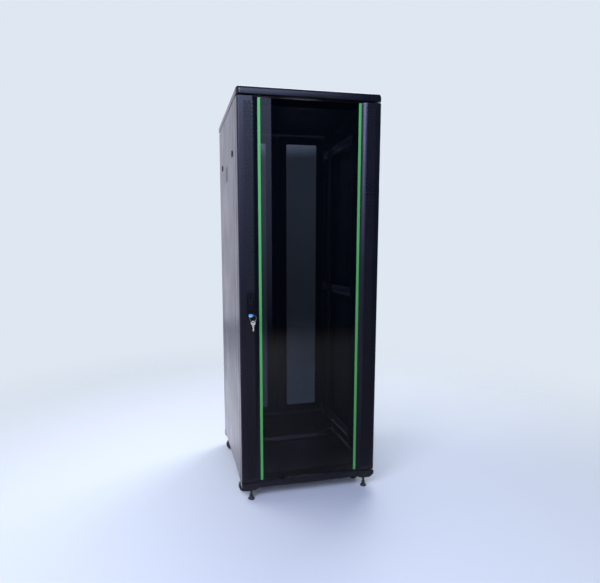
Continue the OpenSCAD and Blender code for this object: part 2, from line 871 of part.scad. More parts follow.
module rear_hinge_blocks() color(zinc)
  for (z = [leaf_z0 + leaf_wall, door_z1 - leaf_wall - hinge_block_h])
    translate([hinge_x, hinge_y_rear, z]) mirror([0, 1, 0])
      hinge_block(hinge_side - leaf_side - leaf_wall, hinge_y_rear - hy + leaf_t);

module rear_sill() color(ink) {
  half = hx - leaf_side;
  translate([-half, hy, base_top]) rotate([90, 0, 0]) tray(2 * half, sill_h, hy - rear_face, leaf_wall);
}

module door_seals() color("#2b2b2b") {
  x0 = post_x + post_t;
  both_sides() {
    translate([x0, -front_face - seal_t, door_z0]) cube([seal_w, seal_t, door_z1 - door_z0]);
    translate([x0, rear_face, leaf_z0]) cube([seal_w, seal_t, leaf_h]);
  }
}

// Locks, drawn on a door's face: outside is -Y, the middle of the housing is the origin.

module on_front() translate([lock_x, -hy, lock_z]) children();

module on_rear() translate([rear_lock_x, hy, rear_lock_z]) rotate([0, 0, 180]) children();

module lock_housing(plug_bore) color(ink) {
  recess_w = lever_w + 2;
  recess_d = 2;
  through = 4 * lock_box_d;
  difference() {
    union() {
      along_y(-lock_t, 0) stadium(lock_w, lock_h);
      translate([-lock_box_w / 2, 0, -lock_box_h / 2]) cube([lock_box_w, lock_box_d, lock_box_h]);
    }
    along_y(-lock_t - eps, -lock_t + recess_d) translate([0, rotor_up / 2 - lever_len / 4])
      stadium(recess_w, lever_len + recess_w);
    translate([0, 0, rotor_up]) rotate([90, 0, 0])
      cylinder(d = rotor_d + 2 * run_gap, h = through, center = true);
    if (plug_bore) translate([0, 0, -plug_down]) rotate([90, 0, 0])
      cylinder(d = plug_d + 2 * run_gap, h = through, center = true);
  }
  if (!plug_bore) translate([0, -lock_t, -plug_down]) rotate([90, 0, 0])
    cylinder(d = plug_flange_d, h = plug_flange_t);
}

// Rotor with the latch cam at its back and the tab that carries the lever at its front.
module lock_rotor(depth) color(zinc) translate([0, 0, rotor_up]) {
  tab_h = 10;
  tab_out = lever_axis_out + lever_pin_d;
  rotate([-90, 0, 0]) translate([0, 0, -lock_t - rotor_proud])
    cylinder(d = rotor_d, h = lock_t + rotor_proud + depth + cam_t);
  translate([-cam_len, depth, -cam_h / 2]) cube([cam_len, cam_t, cam_h]);
  translate([-rotor_tab / 2, -tab_out, -tab_h / 2]) cube([rotor_tab, tab_out - lock_t, tab_h]);
  translate([0, -lever_axis_out, 0]) rotate([0, 90, 0])
    cylinder(d = lever_pin_d, h = lever_w - 2, center = true);
}

module lever_bar(d, w) rotate([0, 90, 0]) cylinder(d = d, h = w, center = true, $fn = hull_fn);

module lock_lever() color(ink) translate([0, -lever_axis_out, rotor_up]) {
  tip_t = lever_t * 0.7;
  belly = 1;
  slot_w = rotor_tab + 2 * bolt_gap;
  slot_down = 7.4;
  difference() {
    hull() {
      lever_bar(lever_t, lever_w);
      translate([0, -belly, -lever_len / 2]) lever_bar(lever_t, lever_w);
      translate([0, (lever_t - tip_t) / 2, -lever_len + tip_t / 2]) lever_bar(tip_t, lever_w - 3);
    }
    translate([-slot_w / 2, -lever_t, -slot_down]) cube([slot_w, 2 * lever_t, slot_down + lever_t]);
    rotate([0, 90, 0]) cylinder(d = lever_pin_d + 2 * run_gap, h = 2 * lever_w, center = true);
  }
}

module front_lock_housing() on_front() lock_housing(true);

module front_lock_rotor() on_front() lock_rotor(cam_depth);

module front_lock_lever() on_front() lock_lever();

module rear_lock_housing() on_rear() lock_housing(false);

module rear_lock_rotor() on_rear() lock_rotor(leaf_t + 2);

module rear_lock_lever() on_rear() lock_lever();

// Bracket on the front left post; the cam swings up under its hook.
module lock_keeper() color(zinc) {
  wall = 3;
  foot_w = 14;
  leg_x = lock_x - cam_len + wall;
  half_h = cam_h / 2 + keeper_reach;
  cam_room = 3;
  cam_y = -hy + cam_depth;
  leg_d = -front_face - cam_y + cam_room;
  cam_z = lock_z + rotor_up;
  difference() {
    translate([leg_x - wall, cam_y - cam_room, cam_z - half_h]) cube([wall, leg_d, 2 * half_h]);
    translate([leg_x - wall - eps, cam_y - cam_room - eps, cam_z - half_h - eps])
      cube([wall + 2 * eps, cam_t + 2 * cam_room + eps, half_h + cam_h / 2 + cam_room + eps]);
  }
  translate([leg_x - foot_w, -front_face - wall, cam_z - half_h]) cube([foot_w, wall, 2 * half_h]);
}

// Key

module at_plug() translate([lock_x, -hy, key_z]) children();

module lock_plug() color(zinc) at_plug() difference() {
  slot_w = blade_w + 4 * run_gap;
  slot_t = blade_t + 4 * run_gap;
  end = 4;
  rotate([-90, 0, 0]) {
    translate([0, 0, -lock_t - eps]) cylinder(d = plug_d, h = lock_t + lock_box_d);
    translate([0, 0, -lock_t - plug_gap - plug_flange_t]) cylinder(d = plug_flange_d, h = plug_flange_t);
  }
  translate([-slot_w / 2, -2 * lock_t, -slot_t / 2]) cube([slot_w, 2 * lock_t + lock_box_d - end, slot_t]);
}

module bow(thickness) {
  linear_extrude(thickness, center = true) difference() {
    circle(d = bow_d);
    circle(d = bow_hole);
  }
}

module door_key() color("#4a9ad0") translate([lock_x, bow_y, key_z]) {
  blade_end = bow_d / 2 + key_out + lock_box_d / 2;
  neck_w = 8;
  neck_end = bow_d / 2 + 1.4;
  bow(bow_t);
  translate([-neck_w / 2, bridge_x, -bow_t / 2]) cube([neck_w, neck_end - bridge_x, bow_t]);
  translate([-blade_w / 2, neck_end - eps, -blade_t / 2]) cube([blade_w, blade_end - neck_end, blade_t]);
}

module at_bridge() translate([lock_x + bridge_x, bow_y, key_z]) rotate([0, 0, ring_yaw]) children();

module key_ring() color(zinc) at_bridge() translate([0, 0, -ring_drop]) rotate([90, 0, 0])
  rotate_extrude() translate([ring_d / 2, 0]) circle(d = ring_wire);

module spare_key() color(zinc) at_bridge() translate([0, 0, -spare_drop]) rotate([0, 90, spare_turn]) {
  bow(spare_t);
  translate([bridge_x, -blade_w / 2, -spare_t / 2]) cube([blade_len + 2, blade_w, spare_t]);
}

// Side panels

module grip_slice(w, h, z) translate([0, 0, z]) linear_extrude(slice_t) square([w, h], center = true);

// Pressed hollow of a grip, from the height top down to its floor, with a sheet of t round it.
module grip_form(t, top) {
  slope = atan(grip_depth / grip_slope);
  rim = 2 * t / sin(slope);
  foot = 2 * t * tan(slope / 2) - 2 * grip_slope;
  hull() {
    for (z = [top, 0]) grip_slice(grip_w + rim, grip_h + rim, z);
    grip_slice(grip_w + foot, grip_h + foot, grip_depth + t - slice_t);
  }
}

// Right panel; local x runs from the rear edge to the front one.
module side_panel() color(ink) {
  latch_xs = [latch_inset, panel_w - latch_inset];
  grip_at = [panel_w / 2, panel_h - grip_drop, 0];
  tab_w = 40;
  tab_d = 22;
  tab_back = 8;
  tab_in = base_inset - tab_back;
  tab_gap = 0.2;
  translate([hx, panel_y1, panel_z0]) rotate([90, 0, -90]) {
    difference() {
      union() {
        tray(panel_w, panel_h, panel_fold, panel_t);
        translate(grip_at) grip_form(panel_t, 0);
      }
      translate(grip_at) grip_form(0, -eps);
      for (x = latch_xs) translate([x, latch_z - panel_z0, -eps])
        cylinder(d = latch_barrel_d + 2 * run_gap, h = panel_fold);
    }
    for (x = [panel_w * 0.2, panel_w * 0.8])
      translate([x - tab_w / 2, tab_gap - panel_gap, tab_in]) cube([tab_w, panel_gap + panel_t, tab_d]);
  }
}

module side_panel_right() side_panel();

module side_panel_left() mirror([1, 0, 0]) side_panel();

// Quarter-turn latch at the origin: outside is +X, the tongue points to -Y.
module side_latch() {
  head_gap = 0.3;
  head_h = 2.2;
  slot_w = 2.4;
  slot_d = 1.2;
  slot_l = latch_d / 1.5;
  tongue = latch_inset - 6;
  tongue_t = 2;
  tongue_h = latch_barrel_d / 1.5;
  difference() {
    rotate([0, 90, 0]) {
      translate([0, 0, head_gap]) cylinder(d1 = latch_d, d2 = latch_d - 3, h = head_h);
      translate([0, 0, -panel_fold - eps]) cylinder(d = latch_barrel_d, h = panel_fold + 2 * eps);
    }
    translate([head_gap + head_h - slot_d, -slot_l / 2, -slot_w / 2]) cube([head_h, slot_l, slot_w]);
  }
  translate([-panel_fold - eps - tongue_t, -tongue, -tongue_h / 2]) cube([tongue_t, tongue, tongue_h]);
}

module latch(sx, sy) color(ink_soft) mirror([sx < 0 ? 1 : 0, 0, 0])
  translate([hx, sy < 0 ? panel_y0 + latch_inset : panel_y1 - latch_inset, latch_z])
    mirror([0, sy < 0 ? 0 : 1, 0]) side_latch();

// Casters and feet

module at_caster(sx, sy) translate([sx * caster_x, sy * caster_y, 0]) children();

module caster_plates() color(zinc) for (sx = [-1, 1], sy = [-1, 1]) at_caster(sx, sy) {
  half_w = base_side_w / 2 - base_t - 2 * small_gap;
  half_l = 30;
  race_z = fork_z + fork_hub_h + bolt_gap;
  race_d = fork_hub_d + 2;
  race_h = plate_z - plate_t - race_z;
  translate([-half_w, -half_l, plate_z - plate_t]) cube([2 * half_w, 2 * half_l, plate_t]);
  translate([0, 0, race_z]) cylinder(d1 = race_d, d2 = race_d + 6, h = race_h);
  translate([0, 0, fork_z - small_gap]) cylinder(d = kingpin_d, h = race_z - fork_z + small_gap);
  translate([0, 0, fork_z - small_gap - kingpin_head]) cylinder(d = kingpin_d + 6, h = kingpin_head);
}

// Side of a fork: from the crown down to the axle, trailing to -X.
module fork_side() {
  boss_wall = 4;
  boss = axle_d + 2 * boss_wall;
  difference() {
    hull() {
      translate([-fork_rear, fork_z]) square([fork_rear + fork_front, fork_crown]);
      translate([-trail, wheel_z]) circle(d = boss, $fn = hull_fn);
    }
    translate([-trail, wheel_z]) circle(d = axle_d);
  }
}

module caster_fork(sx, sy) color(zinc) at_caster(sx, sy) {
  in = wheel_w / 2 + fork_gap;
  out = in + fork_leg;
  axle_end = 2;
  difference() {
    union() {
      translate([-fork_rear, -out, fork_z]) cube([fork_rear + fork_front, 2 * out, fork_crown]);
      translate([0, 0, fork_z]) cylinder(d = fork_hub_d, h = fork_hub_h);
    }
    translate([0, 0, fork_z - eps]) cylinder(d = kingpin_d + 2 * run_gap, h = fork_hub_h + 2 * eps);
  }
  for (y0 = [-out, in]) along_y(y0, y0 + fork_leg) fork_side();
  translate([-trail, 0, wheel_z]) rotate([90, 0, 0])
    cylinder(d = axle_d, h = 2 * (out + axle_end), center = true);
}

module caster_wheel(sx, sy) color("#1a1a1c") at_caster(sx, sy)
  translate([-trail, 0, wheel_z]) rotate([90, 0, 0]) rotate_extrude() wheel_section();

// Half section of a wheel: round-shouldered tread, dished sides and a hub.
module wheel_section() {
  r = wheel_d / 2;
  w = wheel_w / 2;
  shoulder = 3;
  bore_r = axle_d / 2 + run_gap;
  hub_r = axle_d / 2 + 4;
  rim_r = r - 6;
  dish = 3;
  near = w - shoulder * 0.3;
  polygon([[bore_r, -w], [hub_r, -w], [hub_r, dish - w], [rim_r, dish - w], [rim_r, -w], [r - shoulder, -w],
           [r - shoulder * 0.3, -near], [r, shoulder - w], [r, w - shoulder], [r - shoulder * 0.3, near],
           [r - shoulder, w], [rim_r, w], [rim_r, w - dish], [hub_r, w - dish], [hub_r, w], [bore_r, w]]);
}

module foot(sx, sy) color("#232327") translate([sx * foot_x, sy * foot_y, 0]) {
  pad_h = 8;
  neck_wall = 4;
  hex_h = 6;
  nut_wall = 3.5;
  nut_h = 5;
  nut_gap = 2;
  rotate_extrude() polygon([[0, 0], [foot_d / 2 - 1, 0], [foot_d / 2, 1], [foot_d / 2, 3],
                            [foot_stem_d / 2 + neck_wall, pad_h], [0, pad_h]]);
  translate([0, 0, pad_h]) cylinder(d = foot_stem_d + 2 * neck_wall, h = hex_h, $fn = 6);
  translate([0, 0, pad_h]) cylinder(d = foot_stem_d, h = foot_stem_top - pad_h);
  translate([0, 0, pad_h + hex_h + nut_gap]) cylinder(d = foot_stem_d + 2 * nut_wall, h = nut_h, $fn = 6);
}

base_frame();
floor_plates();
post(-1, -1);  // post_front_left
post(1, -1);  // post_front_right
post(-1, 1);  // post_rear_left
post(1, 1);  // post_rear_right
top_frame();
roof_panel();
roof_entry_cover();
depth_rails();
rack_rails_front();
rack_rails_rear();
rail_bolts();
frame_bolts();
hinge_pins();
rear_sill();
lock_keeper();
door_seals();
caster_plates();
mirror([1, 0, 0]) border(true);  // door_border_left
border(false);  // door_border_right
door_rails();
door_glass();
trim_strips();
front_hinge_blocks();
front_lock_housing();
front_lock_rotor();
front_lock_lever();
lock_plug();
door_key();
key_ring();
spare_key();
rear_leaf_left();
rear_leaf_right();
mirror([1, 0, 0]) rear_hinge_blocks();  // rear_hinge_blocks_left
rear_hinge_blocks();  // rear_hinge_blocks_right
rear_lock_housing();
rear_lock_rotor();
rear_lock_lever();
side_panel_left();
side_panel_right();
latch(-1, -1);  // latch_left_front
latch(-1, 1);  // latch_left_rear
latch(1, -1);  // latch_right_front
latch(1, 1);  // latch_right_rear
caster_fork(-1, -1);  // caster_fork_front_left
caster_fork(1, -1);  // caster_fork_front_right
caster_fork(-1, 1);  // caster_fork_rear_left
caster_fork(1, 1);  // caster_fork_rear_right
caster_wheel(-1, -1);  // caster_wheel_front_left
caster_wheel(1, -1);  // caster_wheel_front_right
caster_wheel(-1, 1);  // caster_wheel_rear_left
caster_wheel(1, 1);  // caster_wheel_rear_right
foot(-1, -1);  // foot_front_left
foot(1, -1);  // foot_front_right
foot(-1, 1);  // foot_rear_left
foot(1, 1);  // foot_rear_right
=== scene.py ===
# %% [markdown]
# # A network cabinet with a glass front
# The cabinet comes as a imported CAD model: a welded base, four posts, a bullnosed top, a glass front door
# between two perforated borders, two perforated rear leaves, lift-off side panels, casters and feet. This
# lesson gives it its looks. Shapes are drawn in millimetres, in the frame of the CAD model: x to the right,
# y to the back, z up.

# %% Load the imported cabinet
import math

import bmesh
import bpy
from mathutils import Matrix, Vector


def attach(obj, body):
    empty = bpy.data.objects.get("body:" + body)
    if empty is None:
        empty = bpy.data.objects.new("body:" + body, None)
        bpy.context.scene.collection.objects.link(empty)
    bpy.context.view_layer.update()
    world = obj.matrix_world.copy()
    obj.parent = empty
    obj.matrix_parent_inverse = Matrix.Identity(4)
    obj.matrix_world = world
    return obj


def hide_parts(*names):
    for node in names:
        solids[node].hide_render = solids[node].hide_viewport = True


MM = 0.001
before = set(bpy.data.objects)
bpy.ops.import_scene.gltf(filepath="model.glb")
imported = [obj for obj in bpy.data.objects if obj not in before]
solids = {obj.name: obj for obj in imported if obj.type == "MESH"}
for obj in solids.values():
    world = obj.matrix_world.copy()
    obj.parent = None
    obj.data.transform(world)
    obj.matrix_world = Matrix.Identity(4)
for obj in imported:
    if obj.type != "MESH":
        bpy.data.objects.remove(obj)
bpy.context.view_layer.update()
scene = bpy.context.scene
scene.view_settings.view_transform = "Standard"

# %% [markdown]
# ## Camera
# The photograph was taken from the left of the middle at chest height, with a short lens, so the top and
# bottom edges run together to the right. The place, turn and lens below put the cabinet's corners, trim
# strips and feet on the same pixels. The small shift follows the picture's crop.


# %% Camera
def placed(name, data):
    made = bpy.data.objects.new(name, data)
    scene.collection.objects.link(made)
    return made


lens = bpy.data.cameras.new("photo_camera")
lens.sensor_fit = "HORIZONTAL"
lens.sensor_width = 36.0
lens.lens = 26.471
lens.shift_x = 0.0678
lens.shift_y = 0.0202
camera = placed("photo_camera", lens)
camera.location = (-0.5698, -2.0464, 1.0633)
camera.rotation_euler = (math.radians(83.097), math.radians(0.539), math.radians(-11.454))
scene.camera = camera
print("camera:", tuple(round(c, 3) for c in camera.location))

# %% [markdown]
# ## Building node trees
# Materials, effects and Geometry Nodes are trees of nodes. One helper adds a node and feeds its inputs from
# another node's output or with a plain value, so that every tree below reads from top to bottom.


# %% Node helpers
def put(tree, kind, feeds=None, **settings):
    """Adds a node and gives its outputs. feeds maps an input's name or number to an output or a value."""
    made = tree.nodes.new(kind)
    for name, value in settings.items():
        setattr(made, name, value)
    for key, value in (feeds or {}).items():
        if isinstance(value, bpy.types.NodeSocket):
            tree.links.new(value, made.inputs[key])
        else:
            made.inputs[key].default_value = value
    return made.outputs


def cleared(owner):
    """The empty node tree of a material, a world or a lamp."""
    owner.use_nodes = True
    owner.node_tree.nodes.clear()
    return owner.node_tree


def split(tree, vector):
    return put(tree, "ShaderNodeSeparateXYZ", {"Vector": vector})


def math_of(tree, operation, first, second):
    return put(tree, "ShaderNodeMath", {0: first, 1: second}, operation=operation)[0]


def times(tree, first, second):
    return math_of(tree, "MULTIPLY", first, second)


def plus(tree, first, second):
    return math_of(tree, "ADD", first, second)


def ramp(tree, value, low, high, out_low=0.0, out_high=1.0):
    feeds = {"Value": value, "From Min": low, "From Max": high, "To Min": out_low, "To Max": out_high}
    return put(tree, "ShaderNodeMapRange", feeds, interpolation_type="SMOOTHSTEP")["Result"]


def mixed(tree, factor, first, second):
    return put(tree, "ShaderNodeMix", {0: factor, 6: first, 7: second}, data_type="RGBA")[2]


# %% [markdown]
# ## Studio
# The background of the picture is a plain pale blue, which the world gives to what the camera sees, also
# through glass. For the light that falls on the cabinet it is the same studio with a dimmer side behind the
# camera, so that the glass door and the front stay dark while the side panel, seen at a low angle, picks up
# the pale wall behind it. What has passed the door's glass meets a bright strip high behind the cabinet and
# a shade below it: these set how light the perforated zones look from top to bottom. The pale floor fades
# out before it could draw a horizon. For other rays, mirrored in the glass among them, its part in front of
# the cabinet is painted darker, with a painted pool of light at the left: painted shade and painted light for
# the dimmer side. The lamps are soft panels, hidden from the camera and behind glass: one at the left for the
# side panel, three faint bluish ones in front, whose mirror images draw the light bands on the borders, the
# bevels and the nose of the top, a low one for the keys, and three from above for the floor, the top and the
# rear. A fade dims a panel towards its lower edge.

# %% World
PALE = (0.735, 0.805, 0.885, 1.0)
DIM = (0.016, 0.028, 0.075, 1.0)
WALL = (0.95, 0.96, 1.16, 1.0)
LEFT_SHARE = -0.45
STRIP_GAIN = 4.0
# Ramps over the direction of a ray: from, to, and the values there if not 0 and 1.
WALL_TURN = (-0.6, 0.5)
CEILING = (0.45, 0.8, 1.0, 0.12)
STRIP = (0.185, 0.235)
UPPER_SHADE = (-0.12, 0.14, 0.60, 1.15)
LOWER_SHADE = (-0.22, -0.14, 0.75, 0.0)
world = bpy.data.worlds.new("studio")
scene.world = world
sky = cleared(world)
ray = put(sky, "ShaderNodeLightPath")
toward = split(sky, put(sky, "ShaderNodeTexCoord")["Generated"])
backward = plus(sky, toward["Y"], times(sky, toward["X"], LEFT_SHARE))
behind = ramp(sky, backward, *WALL_TURN)
below_ceiling = ramp(sky, toward["Z"], *CEILING)
room = mixed(sky, times(sky, behind, below_ceiling), DIM, WALL)
seen = math_of(sky, "MAXIMUM", ray["Is Camera Ray"], ray["Is Transmission Ray"])
through = ramp(sky, ray["Transmission Depth"], 0.0, 1.0)
strip = times(sky, times(sky, ramp(sky, toward["Z"], *STRIP), through), behind)
shade = plus(sky, ramp(sky, toward["Z"], *UPPER_SHADE), ramp(sky, toward["Z"], *LOWER_SHADE))
shade = plus(sky, times(sky, plus(sky, shade, -1.0), through), 1.0)
shine = plus(sky, shade, ramp(sky, strip, 0.0, 1.0, 0.0, STRIP_GAIN))
backdrop = put(sky, "ShaderNodeBackground", {"Color": mixed(sky, seen, room, PALE), "Strength": shine})
put(sky, "ShaderNodeOutputWorld", {"Surface": backdrop[0]})
print("world:", world.name)

# %% Floor
FLOOR_RADIUS = 6.0
FLOOR_Z = -0.0005
FLOOR_SEEN = (0.575, 0.62, 0.66, 1.0)
FLOOR_LIGHT = (0.92, 0.93, 1.0, 1.0)
MIRROR_FAR = (0.64, 0.60, 0.61, 1.0)
MIRROR_NEAR = (0.18, 0.175, 0.19, 1.0)
MIRROR_PAINTED_SHADE = (0.03, 0.03, 0.035, 1.0)
PATCH_SLANT = 0.25
# Ramps over the floor; the last two are values for light and for what is seen.
MIRROR_RUN = (-3.4, -1.2)
PATCH_ACROSS = (-0.3, 0.15, 1.0, 0.5)
PATCH_ALONG = (-4.7, -2.9)
CABINET_RUN = (-0.7, 0.1)
FADE_STARTS = (4.4, 0.7)
FADE_ENDS = (4.9, 3.0)


def as_mesh(name, shell):
    mesh = bpy.data.meshes.new(name)
    shell.to_mesh(mesh)
    shell.free()
    return mesh


shell = bmesh.new()
bmesh.ops.create_circle(shell, cap_ends=True, segments=96, radius=FLOOR_RADIUS)
floor_mesh = as_mesh("studio_floor", shell)
floor_mesh.transform(Matrix.Translation((0.0, 0.0, FLOOR_Z)))
floor = placed("studio_floor", floor_mesh)
floor_look = bpy.data.materials.new("pale_floor")
tree = cleared(floor_look)
spot = put(tree, "ShaderNodeTexCoord")["Object"]
away = put(tree, "ShaderNodeVectorMath", {0: spot}, operation="LENGTH")["Value"]
ray = put(tree, "ShaderNodeLightPath")
shown = math_of(tree, "MAXIMUM", ray["Is Camera Ray"], ray["Is Transmission Ray"])
# Painted shade and painted light on the floor, for all rays but the camera's and those through glass: in
# front of the cabinet it is painted dark, darkest far off, with a painted pool of light at the left; under
# and behind the cabinet it keeps FLOOR_LIGHT.
spots = split(tree, spot)
slant = plus(tree, spots["X"], times(tree, spots["Y"], PATCH_SLANT))
painted_light_patch = times(tree, ramp(tree, slant, *PATCH_ACROSS), ramp(tree, spots["Y"], *PATCH_ALONG))
mirrored_floor = mixed(tree, ramp(tree, spots["Y"], *MIRROR_RUN), MIRROR_FAR, MIRROR_NEAR)
mirrored_floor = mixed(tree, painted_light_patch, MIRROR_PAINTED_SHADE, mirrored_floor)
unseen = mixed(tree, ramp(tree, spots["Y"], *CABINET_RUN), mirrored_floor, FLOOR_LIGHT)
matt = put(tree, "ShaderNodeBsdfDiffuse", {"Color": mixed(tree, shown, unseen, FLOOR_SEEN)})
clear = put(tree, "ShaderNodeBsdfTransparent")
fade_start = ramp(tree, shown, 0.0, 1.0, *FADE_STARTS)
fade_end = ramp(tree, shown, 0.0, 1.0, *FADE_ENDS)
fade = put(tree, "ShaderNodeMixShader", {
    0: ramp(tree, away, fade_start, fade_end), 1: matt[0], 2: clear[0]})
put(tree, "ShaderNodeOutputMaterial", {"Surface": fade[0]})
floor_mesh.materials.append(floor_look)
print("floor radius:", FLOOR_RADIUS)


# %% Lamps
def soft_lamp(name, place, target, wide, high, watts, colour, fade=0.0, mirrored=True):
    """A rectangular panel of light; fade, as a power, dims it towards its lower edge."""
    lamp = bpy.data.lights.new(name, "AREA")
    lamp.shape = "RECTANGLE"
    lamp.size = wide
    lamp.size_y = high
    lamp.energy = watts
    lamp.color = colour
    if fade:
        spread = cleared(lamp)
        upward = split(spread, put(spread, "ShaderNodeNewGeometry")["Parametric"])["Y"]
        glow = put(spread, "ShaderNodeEmission", {"Strength": math_of(spread, "POWER", upward, fade)})
        put(spread, "ShaderNodeOutputLight", {"Surface": glow[0]})
    holder = placed(name, lamp)
    holder.location = place
    holder.rotation_euler = (Vector(target) - Vector(place)).to_track_quat("-Z", "Y").to_euler()
    holder.visible_camera = False
    holder.visible_transmission = False
    holder.visible_glossy = mirrored


soft_lamp("key_lamp", (-1.8, -1.9, 1.75), (0.0, -0.2, 0.95), 1.2, 2.2, 64.0, (0.82, 0.86, 1.0),
          mirrored=False)
soft_lamp("front_panel", (0.037, -2.6, 1.55), (0.037, -0.3, 1.55), 0.675, 2.9, 15.0, (0.55, 0.64, 1.0), 1.15)
soft_lamp("upper_panel", (-0.05, -2.6, 2.78), (-0.05, -0.3, 1.9), 2.2, 0.55, 16.0, (0.53, 0.62, 1.0))
soft_lamp("left_panel", (-0.85, -2.45, 1.95), (0.2, -0.3, 1.6), 0.5, 2.3, 84.0, (0.51, 0.56, 1.0), 1.3)
soft_lamp("low_panel", (-1.55, -1.9, 0.45), (-0.25, -0.32, 0.77), 0.6, 0.6, 0.7, (1.0, 0.98, 0.96))
soft_lamp("floor_lamp", (-1.5, 0.5, 2.6), (-0.7, 0.4, 0.0), 1.4, 1.4, 30.0, (1.0, 0.97, 0.92), mirrored=False)
soft_lamp("top_lamp", (0.5, 1.3, 3.4), (0.0, 0.1, 1.7), 1.6, 1.6, 45.0, (0.95, 0.97, 1.0))
soft_lamp("rear_lamp", (1.9, 2.0, 2.4), (0.1, 0.2, 0.9), 1.6, 1.6, 60.0, (0.96, 0.98, 1.0))

# %% [markdown]
# ## Shared surface effects
# Most of the cabinet is powder-coated steel: a skin with a fine orange-peel texture and a slightly varied
# tone. Dust settles on what faces up, and hands leave faint smears on what is touched. Each effect is a
# node group with named sockets, so every finish below can use it with its own values.


# %% Effect groups
def socket(tree, label, kind, way="INPUT"):
    return tree.interface.new_socket(name=label, in_out=way, socket_type=kind)


def new_group(name, outputs, numbers):
    """An empty shader group that is given a place and named numbers. Gives the tree and what it is given."""
    group = bpy.data.node_groups.new(name, "ShaderNodeTree")
    socket(group, "Place", "NodeSocketVector")
    for label, value in numbers.items():
        socket(group, label, FLOAT).default_value = value
    for label in outputs:
        socket(group, label, FLOAT, "OUTPUT")
    return group, put(group, "NodeGroupInput")


def noise(tree, place, scale, detail, **more):
    feeds = {"Vector": place, "Scale": scale, "Detail": detail, **more}
    return put(tree, "ShaderNodeTexNoise", feeds)[0]


FLOAT = "NodeSocketFloat"
GRAIN_SHARE = 0.45
DUST_PER_METRE = 14.0
SCRATCHES_PER_METRE = 1400.0

peel, given = new_group(
    "powder_peel", ["Tone", "Height"], {"Grains per metre": 900.0, "Patches per metre": 6.0})
grain = noise(peel, given["Place"], given["Grains per metre"], 3.0, Roughness=0.55)
patch = noise(peel, given["Place"], given["Patches per metre"], 2.0)
tone = plus(peel, times(peel, grain, GRAIN_SHARE), times(peel, patch, 1.0 - GRAIN_SHARE))
put(peel, "NodeGroupOutput", {"Tone": tone, "Height": grain})

dust, given = new_group("settled_dust", ["Mask"], {"Amount": 0.2})
facing = split(dust, put(dust, "ShaderNodeNewGeometry")["Normal"])
upward = ramp(dust, facing["Z"], 0.35, 0.95)
cloud = noise(dust, given["Place"], DUST_PER_METRE, 5.0)
lying = times(dust, upward, ramp(dust, cloud, 0.3, 0.7, 0.35, 1.0))
put(dust, "NodeGroupOutput", {"Mask": times(dust, lying, given["Amount"])})

smear, given = new_group("hand_smears", ["Mask"], {"Smears per metre": 9.0, "Amount": 0.3})
wiped = put(smear, "ShaderNodeMapping", {"Vector": given["Place"], "Scale": (1.0, 1.0, 0.35)})
smudge = noise(smear, wiped[0], given["Smears per metre"], 6.0, Distortion=0.6)
put(smear, "NodeGroupOutput", {"Mask": times(smear, ramp(smear, smudge, 0.48, 0.72), given["Amount"])})

spangle, given = new_group("plated_spangle", ["Tone", "Height"], {"Crystals per metre": 260.0})
crystal = put(spangle, "ShaderNodeTexVoronoi", {
    "Vector": given["Place"], "Scale": given["Crystals per metre"]})
grey = put(spangle, "ShaderNodeSeparateColor", {"Color": crystal["Color"]})
scratch = noise(spangle, given["Place"], SCRATCHES_PER_METRE, 2.0)
put(spangle, "NodeGroupOutput", {"Tone": grey[0], "Height": scratch})
print("effects:", [g.name for g in bpy.data.node_groups])

# %% [markdown]
# ## Finishes
# A finish starts from one Principled shader whose plain numbers are set on its own sockets. Tone, dust and
# smears then drive the colour and roughness, and the grain drives a small bump.


# %% Finish helper
DUST_COLOUR = (0.30, 0.30, 0.31, 1.0)


def new_finish(name, **plain):
    """A material with one Principled shader. Gives it, its tree, the shader and the place on a surface."""
    look = bpy.data.materials.new(name)
    tree = cleared(look)
    shader = put(tree, "ShaderNodeBsdfPrincipled", {k.replace("_", " "): v for k, v in plain.items()})[0]
    put(tree, "ShaderNodeOutputMaterial", {"Surface": shader})
    place = put(tree, "ShaderNodeTexCoord")["Object"]
    return look, tree, shader, place


def effect(tree, group, feeds):
    return put(tree, "ShaderNodeGroup", feeds, node_tree=group)


def drive(tree, shader, **sockets):
    for name, value in sockets.items():
        tree.links.new(value, shader.node.inputs[name.replace("_", " ")])


def bump(tree, height, strength, depth):
    return put(tree, "ShaderNodeBump", {"Height": height, "Strength": strength, "Distance": depth})[0]


def coated(name, dark, light, rough, grains, depth, dust_amount, specular):
    """Powder coat or moulded plastic: a grained skin with a little dust and handling."""
    look, tree, shader, place = new_finish(name, Specular_IOR_Level=specular)
    skin = effect(tree, peel, {"Place": place, "Grains per metre": grains})
    film = effect(tree, dust, {"Place": place, "Amount": dust_amount})
    hands = effect(tree, smear, {"Place": place, "Amount": 0.35})
    painted = mixed(tree, skin["Tone"], dark, light)
    unhandled = ramp(tree, skin["Tone"], 0.25, 0.75, *rough)
    drive(tree, shader, Base_Color=mixed(tree, film["Mask"], painted, DUST_COLOUR),
          Roughness=plus(tree, unhandled, times(tree, hands["Mask"], -0.06)),
          Normal=bump(tree, skin["Height"], 0.35, depth))
    return look


